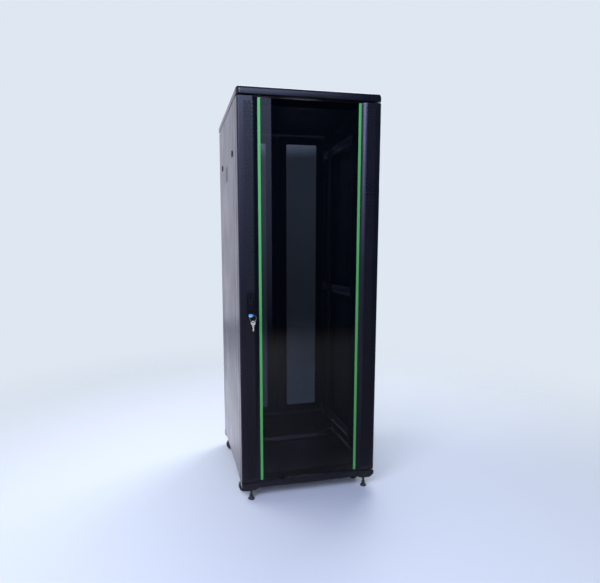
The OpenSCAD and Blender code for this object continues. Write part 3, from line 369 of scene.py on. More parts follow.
# %% Coated finishes
coats = {
    "black_paint": ((0.0026, 0.0029, 0.0060, 1), (0.0056, 0.0062, 0.0114, 1),
                    (0.25, 0.35), 800.0, 0.0001, 0.10, 0.5),
    "inner_paint": ((0.012, 0.0125, 0.015, 1), (0.024, 0.025, 0.030, 1),
                    (0.40, 0.52), 1000.0, 0.00008, 0.12, 0.5),
    "lock_black": ((0.0030, 0.0032, 0.0046, 1), (0.0070, 0.0074, 0.0098, 1),
                   (0.52, 0.64), 1600.0, 0.00005, 0.04, 0.15),
    "wheel_black": ((0.012, 0.012, 0.013, 1), (0.026, 0.026, 0.027, 1),
                    (0.40, 0.58), 1200.0, 0.00008, 0.15, 0.5),
    "foot_black": ((0.012, 0.012, 0.013, 1), (0.028, 0.028, 0.030, 1),
                   (0.38, 0.55), 1300.0, 0.00007, 0.15, 0.5),
    "seal_foam": ((0.014, 0.014, 0.014, 1), (0.034, 0.034, 0.034, 1),
                  (0.75, 0.92), 2200.0, 0.0003, 0.05, 0.3),
    "green_trim": ((0.068, 0.350, 0.080, 1), (0.100, 0.420, 0.108, 1),
                   (0.30, 0.42), 900.0, 0.00004, 0.0, 0.5),
    "key_blue": ((0.130, 0.370, 0.600, 1), (0.170, 0.430, 0.680, 1),
                 (0.22, 0.34), 1500.0, 0.00003, 0.0, 0.5),
}
finishes = {name: coated(name, *coat) for name, coat in coats.items()}
print("coated:", sorted(finishes))


# %% Metal and glass
def plated(name, dark, light, rough, crystals):
    """Plated steel: crystals of slightly different grey and a fine drawn grain."""
    look, tree, shader, place = new_finish(name, Metallic=1.0)
    plate = effect(tree, spangle, {"Place": place, "Crystals per metre": crystals})
    hands = effect(tree, smear, {"Place": place, "Smears per metre": 30.0, "Amount": 0.5})
    unhandled = ramp(tree, plate["Tone"], 0.0, 1.0, *rough)
    drive(tree, shader, Base_Color=mixed(tree, plate["Tone"], dark, light),
          Roughness=plus(tree, unhandled, times(tree, hands["Mask"], 0.15)),
          Normal=bump(tree, plate["Height"], 0.2, 0.00003))
    return look


plates = {
    "zinc_steel": ((0.46, 0.47, 0.49, 1), (0.62, 0.63, 0.65, 1), (0.28, 0.44), 260.0),
    "dark_zinc": ((0.018, 0.019, 0.022, 1), (0.034, 0.035, 0.040, 1), (0.34, 0.50), 400.0),
    "bright_steel": ((0.66, 0.66, 0.67, 1), (0.78, 0.78, 0.79, 1), (0.14, 0.26), 700.0),
}
finishes.update({name: plated(name, *plate) for name, plate in plates.items()})

GLASS = (0.030, 0.036, 0.050, 1)
TOUCHED_GLASS = (0.036, 0.042, 0.055, 1)
glass, tree, shader, place = new_finish("tinted_glass", Transmission_Weight=1.0, IOR=1.46)
hands = effect(tree, smear, {"Place": place, "Smears per metre": 5.0, "Amount": 1.0})
drive(tree, shader, Base_Color=mixed(tree, hands["Mask"], GLASS, TOUCHED_GLASS),
      Roughness=ramp(tree, hands["Mask"], 0.0, 1.0, 0.0, 0.035))
finishes["tinted_glass"] = glass
print("finishes:", len(finishes))

# %% Finishes on the solids
for solid in solids.values():
    slot = solid.data.materials[0].name.split(".")[0]
    solid.data.materials.clear()
    solid.data.materials.append(finishes[slot])
for name in ("front_lock_rotor", "rear_lock_rotor"):
    solids[name].data.materials[0] = finishes["dark_zinc"]
print("dressed:", len(solids))


# %% [markdown]
# ## Sheet-metal helpers
# Folded sheets are built from their real cross-section. An outline drawn in millimetres is pulled between
# two heights and closed at both ends; several such lengths side by side make a sheet with a window in it.


# %% Mesh helpers
def joined(shell, loops, around=False):
    """Joins loops of points in millimetres, each to the next and, if around, the last one to the first."""
    rings = [[shell.verts.new(Vector(point) * MM) for point in loop] for loop in loops]
    made = []
    for near, far in zip(rings, rings[1:] + rings[:1] if around else rings[1:]):
        for i in range(len(near)):
            j = (i + 1) % len(near)
            made.append(shell.faces.new((near[i], near[j], far[j], far[i])))
    return rings, made


def capped(shell, loops):
    """Joins loops in a row and closes both ends."""
    rings, made = joined(shell, loops)
    made += [shell.faces.new(rings[0]), shell.faces.new(rings[-1])]
    bmesh.ops.recalc_face_normals(shell, faces=made)
    return shell


def prism(shell, outline, low, high, place):
    """Closes an outline of (u, v) between two heights; place turns (u, v, height) into a point."""
    capped(shell, [[place(u, v, height) for u, v in outline] for height in (low, high)])


def rectangle(u0, u1, v0, v1):
    return [(u0, v0), (u1, v0), (u1, v1), (u0, v1)]


def arc(centre, radius, start, end, steps):
    turns = [math.radians(start + (end - start) * i / steps) for i in range(steps + 1)]
    return [(centre[0] + radius * math.cos(a), centre[1] + radius * math.sin(a)) for a in turns]


def finished(name, shell, slot, body, node=None, smooth=35.0):
    """Turns a shell into a named piece with its finish, on the body that carries it."""
    mesh = as_mesh(name, shell)
    mesh.shade_smooth()
    mesh.set_sharp_from_angle(angle=math.radians(smooth))
    mesh.materials.append(finishes[slot])
    piece = placed(name, mesh)
    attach(piece, body)
    if node:
        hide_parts(node)
    print(name, "faces:", len(mesh.polygons))
    return piece


# %% [markdown]
# ## Perforated steel
# The borders of the front door and the fields of the rear leaves are punched with small hexagonal holes in
# offset rows. One hexagonal tile with a hole is repeated: tiles of a honeycomb fit edge to edge, so once
# their shared corners are merged they are one sheet. Every second row is shifted by half a tile and ends in
# a plain tile, half hidden in the sheet around the field.

# %% Geometry Nodes helpers
SHAPE = "NodeSocketGeometry"
WELD_GAP = 0.00002
ROOT_3 = math.sqrt(3.0)


def new_tree(name, whole, plain):
    """An empty tree that is given a shape to start from, whole and plain numbers and a finish."""
    made = bpy.data.node_groups.new(name, "GeometryNodeTree")
    made.is_modifier = True
    kinds = {"Start": SHAPE, **dict.fromkeys(whole, "NodeSocketInt"), **dict.fromkeys(plain, FLOAT)}
    for label, kind in {**kinds, "Finish": "NodeSocketMaterial"}.items():
        socket(made, label, kind)
    socket(made, "Result", SHAPE, "OUTPUT")
    return made, put(made, "NodeGroupInput")


def end_tree(made, shape, given, weld=0.0):
    """Closes a tree: real geometry, shared corners merged, and its finish."""
    shape = put(made, "GeometryNodeRealizeInstances", {0: shape})[0]
    if weld:
        shape = put(made, "GeometryNodeMergeByDistance", {"Geometry": shape, "Distance": weld})[0]
    coloured = put(made, "GeometryNodeSetMaterial", {"Geometry": shape, "Material": given["Finish"]})
    put(made, "NodeGroupOutput", {0: coloured[0]})
    print("tree:", made.name, len(made.nodes), "nodes")


def grown(made, slot, values, start=None):
    """Runs a tree on a starting mesh and gives the result, in a finish, as a plain mesh."""
    holder = placed(made.name, start or bpy.data.meshes.new(made.name))
    modifier = holder.modifiers.new(made.name, "NODES")
    modifier.node_group = made
    values["Finish"] = finishes[slot]
    for known in made.interface.items_tree:
        if known.name in values:
            modifier[known.identifier] = values[known.name]
    graph = bpy.context.evaluated_depsgraph_get()
    result = bpy.data.meshes.new_from_object(holder.evaluated_get(graph))
    holder.modifiers.clear()
    bpy.data.objects.remove(holder)
    return result


# %% Honeycomb tree
comb, given = new_tree("honeycomb", ["Columns", "Row pairs"], ["Pitch", "Row step", "Thickness"])
columns = given["Columns"]
pairs = given["Row pairs"]
pitch = given["Pitch"]
step = given["Row step"]
fewer = plus(comb, columns, -1.0)
high = times(comb, plus(comb, pairs, -1.0), times(comb, step, 2.0))


def row_points(count, gaps, steps_up):
    """Points of every second row, so many in a row with so many gaps of one pitch between its ends."""
    grid = put(comb, "GeometryNodeMeshGrid", {
        "Size X": times(comb, gaps, pitch), "Size Y": high, "Vertices X": count, "Vertices Y": pairs})
    lift = put(comb, "ShaderNodeCombineXYZ", {"Z": times(comb, step, steps_up)})
    turned = put(comb, "GeometryNodeTransform", {
        "Geometry": grid["Mesh"], "Translation": lift[0], "Rotation": (math.pi / 2, 0.0, 0.0)})
    return turned[0]


full_rows = row_points(columns, fewer, -0.5)
short_rows = row_points(fewer, plus(comb, columns, -2.0), 0.5)
row_ends = row_points(2, columns, 0.5)
corner_radius = math_of(comb, "DIVIDE", pitch, ROOT_3)
plain = put(comb, "GeometryNodeMeshCircle", {"Vertices": 6, "Radius": corner_radius}, fill_type="NGON")
plain_tile = comb.nodes.new("GeometryNodeJoinGeometry")
for side in (-1.0, 1.0):
    offset = put(comb, "ShaderNodeCombineXYZ", {"Y": times(comb, given["Thickness"], side * 0.5)})
    face = put(comb, "GeometryNodeTransform", {
        "Geometry": plain["Mesh"], "Translation": offset[0],
        "Rotation": (-side * math.pi / 2, math.radians(30.0), 0.0)})
    comb.links.new(face[0], plain_tile.inputs[0])
rows = comb.nodes.new("GeometryNodeJoinGeometry")
tile = given["Start"]
for points, repeated in ((full_rows, tile), (short_rows, tile), (row_ends, plain_tile.outputs[0])):
    copies = put(comb, "GeometryNodeInstanceOnPoints", {"Points": points, "Instance": repeated})
    comb.links.new(copies[0], rows.inputs[0])
end_tree(comb, rows.outputs[0], given, weld=WELD_GAP)


# %% Honeycomb field
def hexagon_tile(pitch_mm, hole_mm, thickness_mm):
    """One tile of the sheet, upright in the xz plane: front, back and the walls of its hole."""
    shell = bmesh.new()
    loops = []
    for across, side in ((pitch_mm, -0.5), (hole_mm, -0.5), (hole_mm, 0.5), (pitch_mm, 0.5)):
        corners = arc((0.0, 0.0), across / ROOT_3, 30.0, 330.0, 5)
        loops.append([(x, side * thickness_mm, z) for x, z in corners])
    joined(shell, loops)
    return as_mesh("tile", shell)


def row_step(pitch_mm):
    return pitch_mm * ROOT_3 / 2.0


def pairs_that_fit(height_mm, pitch_mm):
    return int(((height_mm - pitch_mm / ROOT_3) / row_step(pitch_mm) + 1.0) / 2.0)


def field_height(pairs_count, pitch_mm):
    """Height of the window that so many row pairs fill."""
    return (2 * pairs_count - 1) * row_step(pitch_mm) + pitch_mm / ROOT_3


def punched(shell, columns_count, pairs_count, pitch_mm, hole_mm, thickness_mm, slot, centre):
    """Adds a field of honeycomb to a shell, with its middle at centre, in millimetres."""
    sheet = grown(comb, slot, {
        "Columns": columns_count, "Row pairs": pairs_count, "Pitch": pitch_mm * MM,
        "Row step": row_step(pitch_mm) * MM, "Thickness": thickness_mm * MM,
    }, hexagon_tile(pitch_mm, hole_mm, thickness_mm))
    sheet.transform(Matrix.Translation(Vector(centre) * MM))
    shell.from_mesh(sheet)
    print("punched:", columns_count, "x", 2 * pairs_count, "faces", len(sheet.polygons))
    bpy.data.meshes.remove(sheet)


# %% [markdown]
# ## Borders of the front door
# A border is one sheet, folded: a return at the back, the side, a rounded outer edge, the flat front with
# its punched field, a bevel down to the glass and a hemmed lip that the glass is bonded to. The outline
# below runs once round that sheet. The flat is left out of it where the punched field goes, and plain
# lengths close the field's ends. A matt plastic strip behind the field is a dark sheet that stands in for
# the shade seen through the holes; it keeps daylight from showing through them. On the lock side the sheet
# is plain round the lock, with an opening for the lock's box.

# %% Border sizes
HALF = 300.0
SHEET = 1.5
FLAT = 62.0
BORDER_DEPTH = 38.0
BORDER_RETURN = 20.0
EDGE_ROUND = 8.0
FIELD_IN = 24.5
BORDER_PITCH = 8.95
BORDER_HOLE = 6.7
BORDER_COLUMNS = 4
FIELD_OUT = FIELD_IN + BORDER_COLUMNS * BORDER_PITCH
DOOR_LOW = 82.0
DOOR_HIGH = 1653.0
FIELD_MARGIN = 14.0
SHADE_BACKING = (FIELD_IN - 1.0, FIELD_OUT + 1.0, 4.0, 5.0)
CAP_IN = 16.0
CAP_TOOTH = (8.0, 24.0)
LOCK_PLAIN = (779.5, 900.5)
LOCK_SIDES = (32.5, 55.5)
LOCK_ENDS = (790.5, 889.5)
edge_part = (
    [(BORDER_RETURN, BORDER_DEPTH), (0.0, BORDER_DEPTH)]
    + arc((EDGE_ROUND, EDGE_ROUND), EDGE_ROUND, 180.0, 270.0, 8) + [(FIELD_IN, 0.0), (FIELD_IN, SHEET)]
    + arc((EDGE_ROUND, EDGE_ROUND), EDGE_ROUND - SHEET, 270.0, 180.0, 8)
    + [(SHEET, BORDER_DEPTH - SHEET), (BORDER_RETURN, BORDER_DEPTH - SHEET)])
bevel_part = [
    (FIELD_OUT, 0.0), (FLAT - 1.0, 0.0), (FLAT + 0.5, 0.15), (82.2, 9.4), (83.0, 10.3), (83.0, 10.9),
    (82.4, 11.5), (67.0, 11.5), (67.0, 10.0), (79.8, 10.0), (FLAT, SHEET), (FIELD_OUT, SHEET)]


# %% Borders
def border(side, name, node, plain_range=None):
    """One border. side is -1 at the left and 1 at the right; plain_range is left unpunched for the lock."""
    shell = bmesh.new()
    shade_backing = bmesh.new()

    def at(u, v, z):
        return (side * (HALF - u), v - HALF, z)

    for outline in (edge_part, bevel_part):
        prism(shell, outline, DOOR_LOW, DOOR_HIGH, at)
    fields = [(DOOR_LOW + FIELD_MARGIN, DOOR_HIGH - FIELD_MARGIN)]
    if plain_range:
        fields = [(fields[0][0], plain_range[0]), (plain_range[1], fields[0][1])]
    strip = rectangle(FIELD_IN, FIELD_OUT, 0.0, SHEET)
    plain_from = DOOR_LOW
    for low, high in fields:
        count = pairs_that_fit(high - low, BORDER_PITCH)
        tall = field_height(count, BORDER_PITCH)
        middle = (low + high) / 2.0
        punched(shell, BORDER_COLUMNS, count, BORDER_PITCH, BORDER_HOLE, SHEET - 0.2, "black_paint",
                at((FIELD_IN + FIELD_OUT) / 2.0, SHEET / 2.0, middle))
        # A dark strip behind each field stands in for the shade seen through its holes.
        prism(shade_backing, rectangle(*SHADE_BACKING), low, high, at)
        window_low = middle - tall / 2.0
        if plain_range and low == plain_range[1]:
            prism(shell, strip, plain_from, LOCK_ENDS[0], at)
            for sides in ((FIELD_IN, LOCK_SIDES[0]), (LOCK_SIDES[1], FIELD_OUT)):
                prism(shell, rectangle(*sides, 0.0, SHEET), *LOCK_ENDS, at)
            prism(shell, strip, LOCK_ENDS[1], window_low, at)
        else:
            prism(shell, strip, plain_from, window_low, at)
        plain_from = middle + tall / 2.0
    prism(shell, strip, plain_from, DOOR_HIGH, at)
    for z in (DOOR_LOW, DOOR_HIGH - SHEET):
        prism(shell, rectangle(CAP_IN, FLAT - 1.0, SHEET, BORDER_DEPTH - SHEET), z, z + SHEET, at)
        prism(shell, rectangle(SHEET, CAP_IN, *CAP_TOOTH), z, z + SHEET, at)
    finished(name, shell, "black_paint", "front_door", node)
    finished(name + "_backing", shade_backing, "wheel_black", "front_door")


border(-1.0, "punched_border_left", "door_border_left", LOCK_PLAIN)
border(1.0, "punched_border_right", "door_border_right")

# %% [markdown]
# ## Rear leaves
# Each leaf is a shallow tray: a face with a large punched field, and edges folded forwards. The face is
# laid out as a grid of cells with the field's cell left open, its rim is pulled forwards to make the folds,
# the fold lines are rounded, and the whole skin is then given the thickness of the sheet. The corner at
# each hinge is notched.

# %% Leaf sizes
LEAF_SHEET = 1.2
LEAF_LOW = 156.0
LEAF_DEPTH = 28.0
LEAF_FREE = 1.5
LEAF_HINGE = 298.0
LEAF_NOTCH = 283.0
LEAF_PITCH = 8.5
LEAF_HOLE = 6.2
LEAF_COLUMNS = 20
VENT_LOW = 188.0
VENT_HIGH = 1621.0
VENT_MIDDLE = (139.25, (VENT_LOW + VENT_HIGH) / 2)
REAR_LOCK = (25.0, 48.0, 855.5, 954.5)
FOLD_ROUND = 1.6
leaf_pairs = pairs_that_fit(VENT_HIGH - VENT_LOW, LEAF_PITCH)
vent_half = (LEAF_COLUMNS * LEAF_PITCH / 2, field_height(leaf_pairs, LEAF_PITCH) / 2)


# %% Folded trays
def inside(spot, window):
    return window[0] < spot[0] < window[1] and window[2] < spot[1] < window[3]


def tray(us, zs, holes, folds, depth, sheet, place, inward, sunk=None):
    """A tray folded from one sheet. us and zs are its grid lines in millimetres, holes are (u0, u1, z0, z1),
    folds tells which edges are folded, and sunk gives how deep a place is pressed in."""
    shell = bmesh.new()
    spots = {}
    grid = []
    for z in zs:
        line = [place(u, z) + inward * (sunk(u, z) if sunk else 0.0) for u in us]
        grid.append([shell.verts.new(point * MM) for point in line])
        spots.update({vert: (u, z) for vert, u in zip(grid[-1], us)})
    for i in range(len(zs) - 1):
        for j in range(len(us) - 1):
            middle = ((us[j] + us[j + 1]) / 2, (zs[i] + zs[i + 1]) / 2)
            if not any(inside(middle, hole) for hole in holes):
                shell.faces.new((grid[i][j], grid[i][j + 1], grid[i + 1][j + 1], grid[i + 1][j]))
    rim = [e for e in shell.edges if e.is_boundary and folds([spots[v] for v in e.verts])]
    pulled = bmesh.ops.extrude_edge_only(shell, edges=rim)["geom"]
    for vert in [g for g in pulled if isinstance(g, bmesh.types.BMVert)]:
        vert.co += inward * depth * MM
    bmesh.ops.bevel(shell, geom=rim, offset=FOLD_ROUND * MM, segments=3, profile=0.5, affect="EDGES")
    bmesh.ops.recalc_face_normals(shell, faces=shell.faces)
    outer = max(shell.faces, key=lambda f: f.calc_area())
    if outer.normal.dot(inward) > 0:
        bmesh.ops.reverse_faces(shell, faces=shell.faces)
    bmesh.ops.solidify(shell, geom=shell.faces, thickness=sheet * MM)
    return shell


def on_line(ends, axis, lines):
    """Whether an edge, given by its two ends, lies on one of these grid lines."""
    return any(all(abs(end[axis] - line) < 0.01 for end in ends) for line in lines)


# %% Leaves
def leaf_folds(ends):
    level = on_line(ends, 1, (LEAF_LOW, DOOR_HIGH)) and max(u for u, z in ends) < LEAF_NOTCH + 0.01
    return level or on_line(ends, 0, (LEAF_FREE, LEAF_HINGE))


def leaf(side, name, node, body, lock=None):
    """One leaf. lock is the opening for the lock's box as (x0, x1, z0, z1)."""
    vent = [centre + sign * half for centre, half in zip(VENT_MIDDLE, vent_half) for sign in (-1.0, 1.0)]
    holes = [vent, lock] if lock else [vent]
    us = sorted([LEAF_FREE, LEAF_NOTCH, LEAF_HINGE] + [u for hole in holes for u in hole[:2]])
    zs = sorted([LEAF_LOW, DOOR_HIGH] + [z for hole in holes for z in hole[2:]])
    shell = tray(us, zs, holes, leaf_folds, LEAF_DEPTH, LEAF_SHEET,
                 lambda u, z: Vector((side * u, HALF, z)), Vector((0.0, -1.0, 0.0)))
    punched(shell, LEAF_COLUMNS, leaf_pairs, LEAF_PITCH, LEAF_HOLE, LEAF_SHEET - 0.2, "inner_paint",
            (side * VENT_MIDDLE[0], HALF - LEAF_SHEET / 2, VENT_MIDDLE[1]))
    finished(name, shell, "inner_paint", body, node)


leaf(1.0, "punched_leaf_right", "rear_leaf_right", "rear_door_right")
leaf(-1.0, "punched_leaf_left", "rear_leaf_left", "rear_door_left", REAR_LOCK)

# %% [markdown]
# ## Side panels
# A side panel is a tall tray hung on two tabs. Near its top a shallow grip is pressed into the sheet. A
# press draws the steel down in a soft curve, so the grip is a dent in a fine part of the grid, deepest in
# the middle and level with the sheet at its rim.

# %% Side panels
PANEL_SHEET = 1.2
PANEL_FOLD = 15.0
PANEL_ENDS = (-194.0, 204.0)
PANEL_LEVELS = (78.0, 1657.0)
LATCH_PLACES = (-164.0, 174.0)
LATCH_Z = 1462.0
LATCH_HOLE = 9.4
GRIP_MIDDLE = (5.0, 1407.0)
GRIP_HALF = (60.0, 43.0)
GRIP_RUN = (44.0, 20.0)
GRIP_DEEP = 5.0
TAB_SHARES = (0.2, 0.8)
TAB_ACROSS = (268.0, 290.0)
TAB_HALF = 20.0
TAB_LEVELS = (76.2, 79.0)


def eased_step(value):
    value = min(max(value, 0.0), 1.0)
    return value * value * (3.0 - 2.0 * value)


def grip_depth(y, z):
    """How deep the sheet is pressed in at a place of the panel."""
    deep = GRIP_DEEP
    for at, middle, half, run in zip((y, z), GRIP_MIDDLE, GRIP_HALF, GRIP_RUN):
        deep *= eased_step((half - abs(at - middle)) / run)
    return deep


def grid_lines(middle, half, count):
    return [middle - half + 2.0 * half * i / count for i in range(count + 1)]


def panel_folds(ends):
    return on_line(ends, 0, PANEL_ENDS) or on_line(ends, 1, PANEL_LEVELS)


def side_panel(side, name, node, body):
    holes = [(y - LATCH_HOLE, y + LATCH_HOLE, LATCH_Z - LATCH_HOLE, LATCH_Z + LATCH_HOLE)
             for y in LATCH_PLACES]
    ys = sorted([*PANEL_ENDS, *holes[0][:2], *holes[1][:2], *grid_lines(GRIP_MIDDLE[0], GRIP_HALF[0], 30)])
    zs = sorted([*PANEL_LEVELS, *holes[0][2:], *grid_lines(GRIP_MIDDLE[1], GRIP_HALF[1], 24)])
    shell = tray(ys, zs, holes, panel_folds, PANEL_FOLD, PANEL_SHEET,
                 lambda y, z: Vector((side * HALF, y, z)), Vector((-side, 0.0, 0.0)), grip_depth)
    for share in TAB_SHARES:
        middle = PANEL_ENDS[1] - share * (PANEL_ENDS[1] - PANEL_ENDS[0])
        prism(shell, rectangle(*TAB_ACROSS, middle - TAB_HALF, middle + TAB_HALF), *TAB_LEVELS,
              lambda x, y, z: (side * x, y, z))
    finished(name, shell, "black_paint", body, node, smooth=25.0)


side_panel(-1.0, "pressed_side_left", "side_panel_left", "side_left")
side_panel(1.0, "pressed_side_right", "side_panel_right", "side_right")

# %% [markdown]
# ## Bullnosed top
# The top is a frame of folded sheet, open towards the inside, whose outer edge is rounded over like the
# nose of a stair tread. Its corners are rounded in plan as well. A loop of points runs round the plan for
# every point of the cross-section, drawn in by that point's distance from the edge, and neighbouring loops
# are joined.

# %% Loops and turned shapes
TOP_LOW = 1659.0
TOP_HIGH = 1690.0
TOP_REACH = 302.0
TOP_CORNER = 16.0
TOP_SHEET = 2.5
TOP_WALL = 14.5
TOP_FLANGE = 46.0
NOSE = 12.0
NOSE_FOOT = 3.0
RIB = 0.015


def ring_of_loops(shell, loops):
    bmesh.ops.recalc_face_normals(shell, faces=joined(shell, loops, around=True)[1])


def rounded(u0, u1, v0, v1, radius, steps=3):
    points = []
    for u, v, turn in ((u1 - radius, v1 - radius, 0), (u0 + radius, v1 - radius, 90),
                       (u0 + radius, v0 + radius, 180), (u1 - radius, v0 + radius, 270)):
        points += arc((u, v), radius, turn, turn + 90, steps)
    return points


def plan_loop(inset, z):
    radius = max(TOP_CORNER - inset, 1.0)
    reach = TOP_REACH - inset
    return [(x, y, z) for x, y in rounded(-reach, reach, -reach, reach, radius, 8)]


def turned(shell, section, steps, place, ribs=0, rib_from=0.0):
    """Turns a closed section of (radius, height) about its axis; ribs makes the part beyond rib_from wavy."""
    loops = []
    for radius, height in section:
        loop = []
        for i in range(steps):
            a = math.tau * i / steps
            r = radius * (1.0 - RIB + RIB * math.cos(ribs * a)) if ribs and radius > rib_from else radius
            loop.append(place(r * math.cos(a), r * math.sin(a), height))
        loops.append(loop)
    ring_of_loops(shell, loops)


# %% Top frame
nose_section = (
    arc((NOSE_FOOT, TOP_LOW + NOSE_FOOT), NOSE_FOOT, 270.0, 180.0, 4)
    + arc((NOSE, TOP_HIGH - NOSE), NOSE, 180.0, 90.0, 10)
    + [(TOP_FLANGE - 0.5, TOP_HIGH), (TOP_FLANGE, TOP_HIGH - 0.5), (TOP_FLANGE, TOP_HIGH - TOP_SHEET),
       (TOP_WALL, TOP_HIGH - TOP_SHEET), (TOP_WALL, TOP_LOW + TOP_SHEET), (TOP_FLANGE, TOP_LOW + TOP_SHEET),
       (TOP_FLANGE, TOP_LOW + 0.5), (TOP_FLANGE - 0.5, TOP_LOW)])
shell = bmesh.new()
ring_of_loops(shell, [plan_loop(inset, z) for inset, z in nose_section])
finished("bullnose_top", shell, "black_paint", "frame", "top_frame")

# %% [markdown]
# ## Foam seals
# A strip of closed-cell foam is stuck to each post, and the doors close against it. A strip has a flat back
# and a domed front, so a dome is pulled along the post.

# %% Door seals
SEAL_X = 254.0
SEAL_FRONT = -256.0
SEAL_REAR = 266.0
SEAL_HALF = 4.0
SEAL_EDGE = 0.8
SEAL_RISE = 3.7
dome = [(2.0 * SEAL_HALF, 0.0)]
for i in range(13):
    a = math.pi * i / 12
    dome.append((SEAL_HALF + SEAL_HALF * math.cos(a), SEAL_EDGE + SEAL_RISE * math.sin(a) ** 0.8))
dome.append((0.0, 0.0))
shell = bmesh.new()
for side in (-1.0, 1.0):
    prism(shell, dome, DOOR_LOW, DOOR_HIGH, lambda u, v, z: (side * (SEAL_X + u), SEAL_FRONT - v, z))
    prism(shell, dome, LEAF_LOW, DOOR_HIGH, lambda u, v, z: (side * (SEAL_X + u), SEAL_REAR + v, z))
seals = finished("foam_seals", shell, "seal_foam", "frame", "door_seals")

# %% [markdown]
# ## Keys
# The key in the lock has a moulded head, soft at every edge, with a thick collar where it takes the steel
# blade. The spare one on the ring is cut from sheet: a flat bow, two shoulders, and a blade whose edge
# carries the cuts.

# %% Key in the lock
LOCK_X = -256.0
BOW_Y = -320.0
KEY_Z = 800.0


def at_key(u, v, h):
    return (LOCK_X + u, BOW_Y + v, KEY_Z + h)


def along_key(u, h, v):
    return at_key(u, v, h)


collar_rim = rounded(-6.6, 6.6, -5.6, 5.6, 2.6)
collar = rounded(-7.5, 7.5, -6.5, 6.5, 2.6)
neck = rounded(-4.0, 4.0, -2.0, 2.0, 1.2)
shell = bmesh.new()
turned(shell, rounded(6.0, 10.0, -2.0, 2.0, 1.4, 4), 48, at_key)
for outline, near, far in (
        (collar_rim, 6.9, 7.8), (collar, 7.8, 10.0), (collar_rim, 10.0, 10.9), (neck, 6.0, 11.4)):
    prism(shell, outline, near, far, along_key)
finished("key_head", shell, "key_blue", "key", "door_key")
shell = bmesh.new()
prism(shell, rounded(-3.4, 3.4, -0.75, 0.75, 0.2), 11.0, 26.5, along_key)
finished("key_blade", shell, "bright_steel", "key")

# %% Spare key
SPARE_YAW = math.radians(65.0)
SPARE_ASIDE = 8.0
SPARE_DROP = 28.35
cuts = [
    (8.0, -3.4), (10.5, -4.3), (13.0, -4.3), (13.0, -3.3), (31.5, -3.3), (34.0, -0.7), (34.0, 0.5),
    (31.0, 2.6), (29.6, 1.3), (28.6, 1.3), (27.2, 2.8), (26.2, 2.8), (24.6, 0.7), (23.6, 0.7),
    (22.0, 2.5), (21.0, 2.5), (19.6, 1.5), (18.6, 1.5), (17.0, 3.3), (13.0, 3.3), (13.0, 4.3),
    (10.5, 4.3), (8.0, 3.4)]


def at_spare(u, v, h):
    x = h * math.cos(SPARE_YAW) - v * math.sin(SPARE_YAW)
    y = h * math.sin(SPARE_YAW) + v * math.cos(SPARE_YAW)
    return (LOCK_X + SPARE_ASIDE + x, BOW_Y + y, KEY_Z - SPARE_DROP - u)


def bow_loop(radius, shift, h):
    return [at_spare(u - shift, v, h) for u, v in arc((0.0, 0.0), radius, 0.0, 352.5, 47)]


bow = [(3.2, 2.9, 1.0), (9.6, 0.0, 1.0), (10.0, 0.0, 0.6), (10.0, 0.0, -0.6), (9.6, 0.0, -1.0),
       (3.2, 2.9, -1.0), (2.9, 2.9, -0.7), (2.9, 2.9, 0.7)]
shell = bmesh.new()
ring_of_loops(shell, [bow_loop(*row) for row in bow])
prism(shell, cuts, -0.9, 0.9, at_spare)
finished("cut_spare_key", shell, "bright_steel", "key_set", "spare_key")

# %% [markdown]
# ## Levelling feet
# A foot is a moulded pad with a ribbed rim on a threaded stem, with a hexagon to turn it by and a lock nut.
# The thread is a spiral that a small three-sided ridge follows, wound on the stem's core.

# %% Thread tree
thread, given = new_tree("thread", [], ["Turns", "Height", "Radius", "Ridge"])
spiral = put(thread, "GeometryNodeCurveSpiral", {
    "Resolution": 16, "Rotations": given["Turns"], "Start Radius": given["Radius"],
    "End Radius": given["Radius"], "Height": given["Height"]})
ridge = put(thread, "GeometryNodeCurvePrimitiveCircle", {"Resolution": 3, "Radius": given["Ridge"]})
wound = put(thread, "GeometryNodeCurveToMesh", {
    "Curve": spiral[0], "Profile Curve": ridge[0], "Fill Caps": True})
end_tree(thread, wound[0], given)

# %% Feet
CORNERS = [(end, side, end_name + "_" + side_name)
           for end, end_name in ((-1.0, "front"), (1.0, "rear"))
           for side, side_name in ((-1.0, "left"), (1.0, "right"))]
FOOT_X = 258.0
FOOT_Y = 284.0
BORE = 4.2
STEM = 4.3
STEM_LEVELS = (0.6, 57.6)
THREAD_Z = 14.8
pad_section = [
    (BORE, 0.0), (12.6, 0.0), (13.6, 0.5), (14.0, 1.3), (14.0, 2.7), (13.5, 3.4), (9.7, 7.3), (9.0, 7.8),
    (8.2, 8.0), (BORE, 8.0)]
ridge_mesh = grown(thread, "foot_black", {"Turns": 28.0, "Height": 0.042, "Radius": 0.0043, "Ridge": 0.00062})


def hexagon_nut(low, high, reach):
    flat = reach - 0.7
    return [(BORE, low), (flat, low), (reach, low + 0.6), (reach, high - 0.6), (flat, high), (BORE, high)]


for end, side, corner in CORNERS:
    name = "foot_" + corner
    middle = Vector((side * FOOT_X, end * FOOT_Y, 0.0))

    def at_foot(x, y, z):
        return tuple(middle + Vector((x, y, z)))

    shell = bmesh.new()
    wound_ridge = ridge_mesh.copy()
    wound_ridge.transform(Matrix.Translation(Vector(at_foot(0.0, 0.0, THREAD_Z)) * MM))
    shell.from_mesh(wound_ridge)
    turned(shell, pad_section, 80, at_foot, ribs=20, rib_from=12.0)
    turned(shell, hexagon_nut(8.0, 14.0, 9.0), 6, at_foot)
    turned(shell, hexagon_nut(16.0, 21.0, 8.5), 6, at_foot)
    prism(shell, arc((0.0, 0.0), STEM, 0.0, 345.0, 23), *STEM_LEVELS, at_foot)
    finished("threaded_" + name, shell, "foot_black", name, name)

# %% [markdown]
# ## Caster wheels
# The wheels are moulded: a tread with round shoulders and a fine parting line, dished sides and a raised
# hub. Each is turned from its half section.

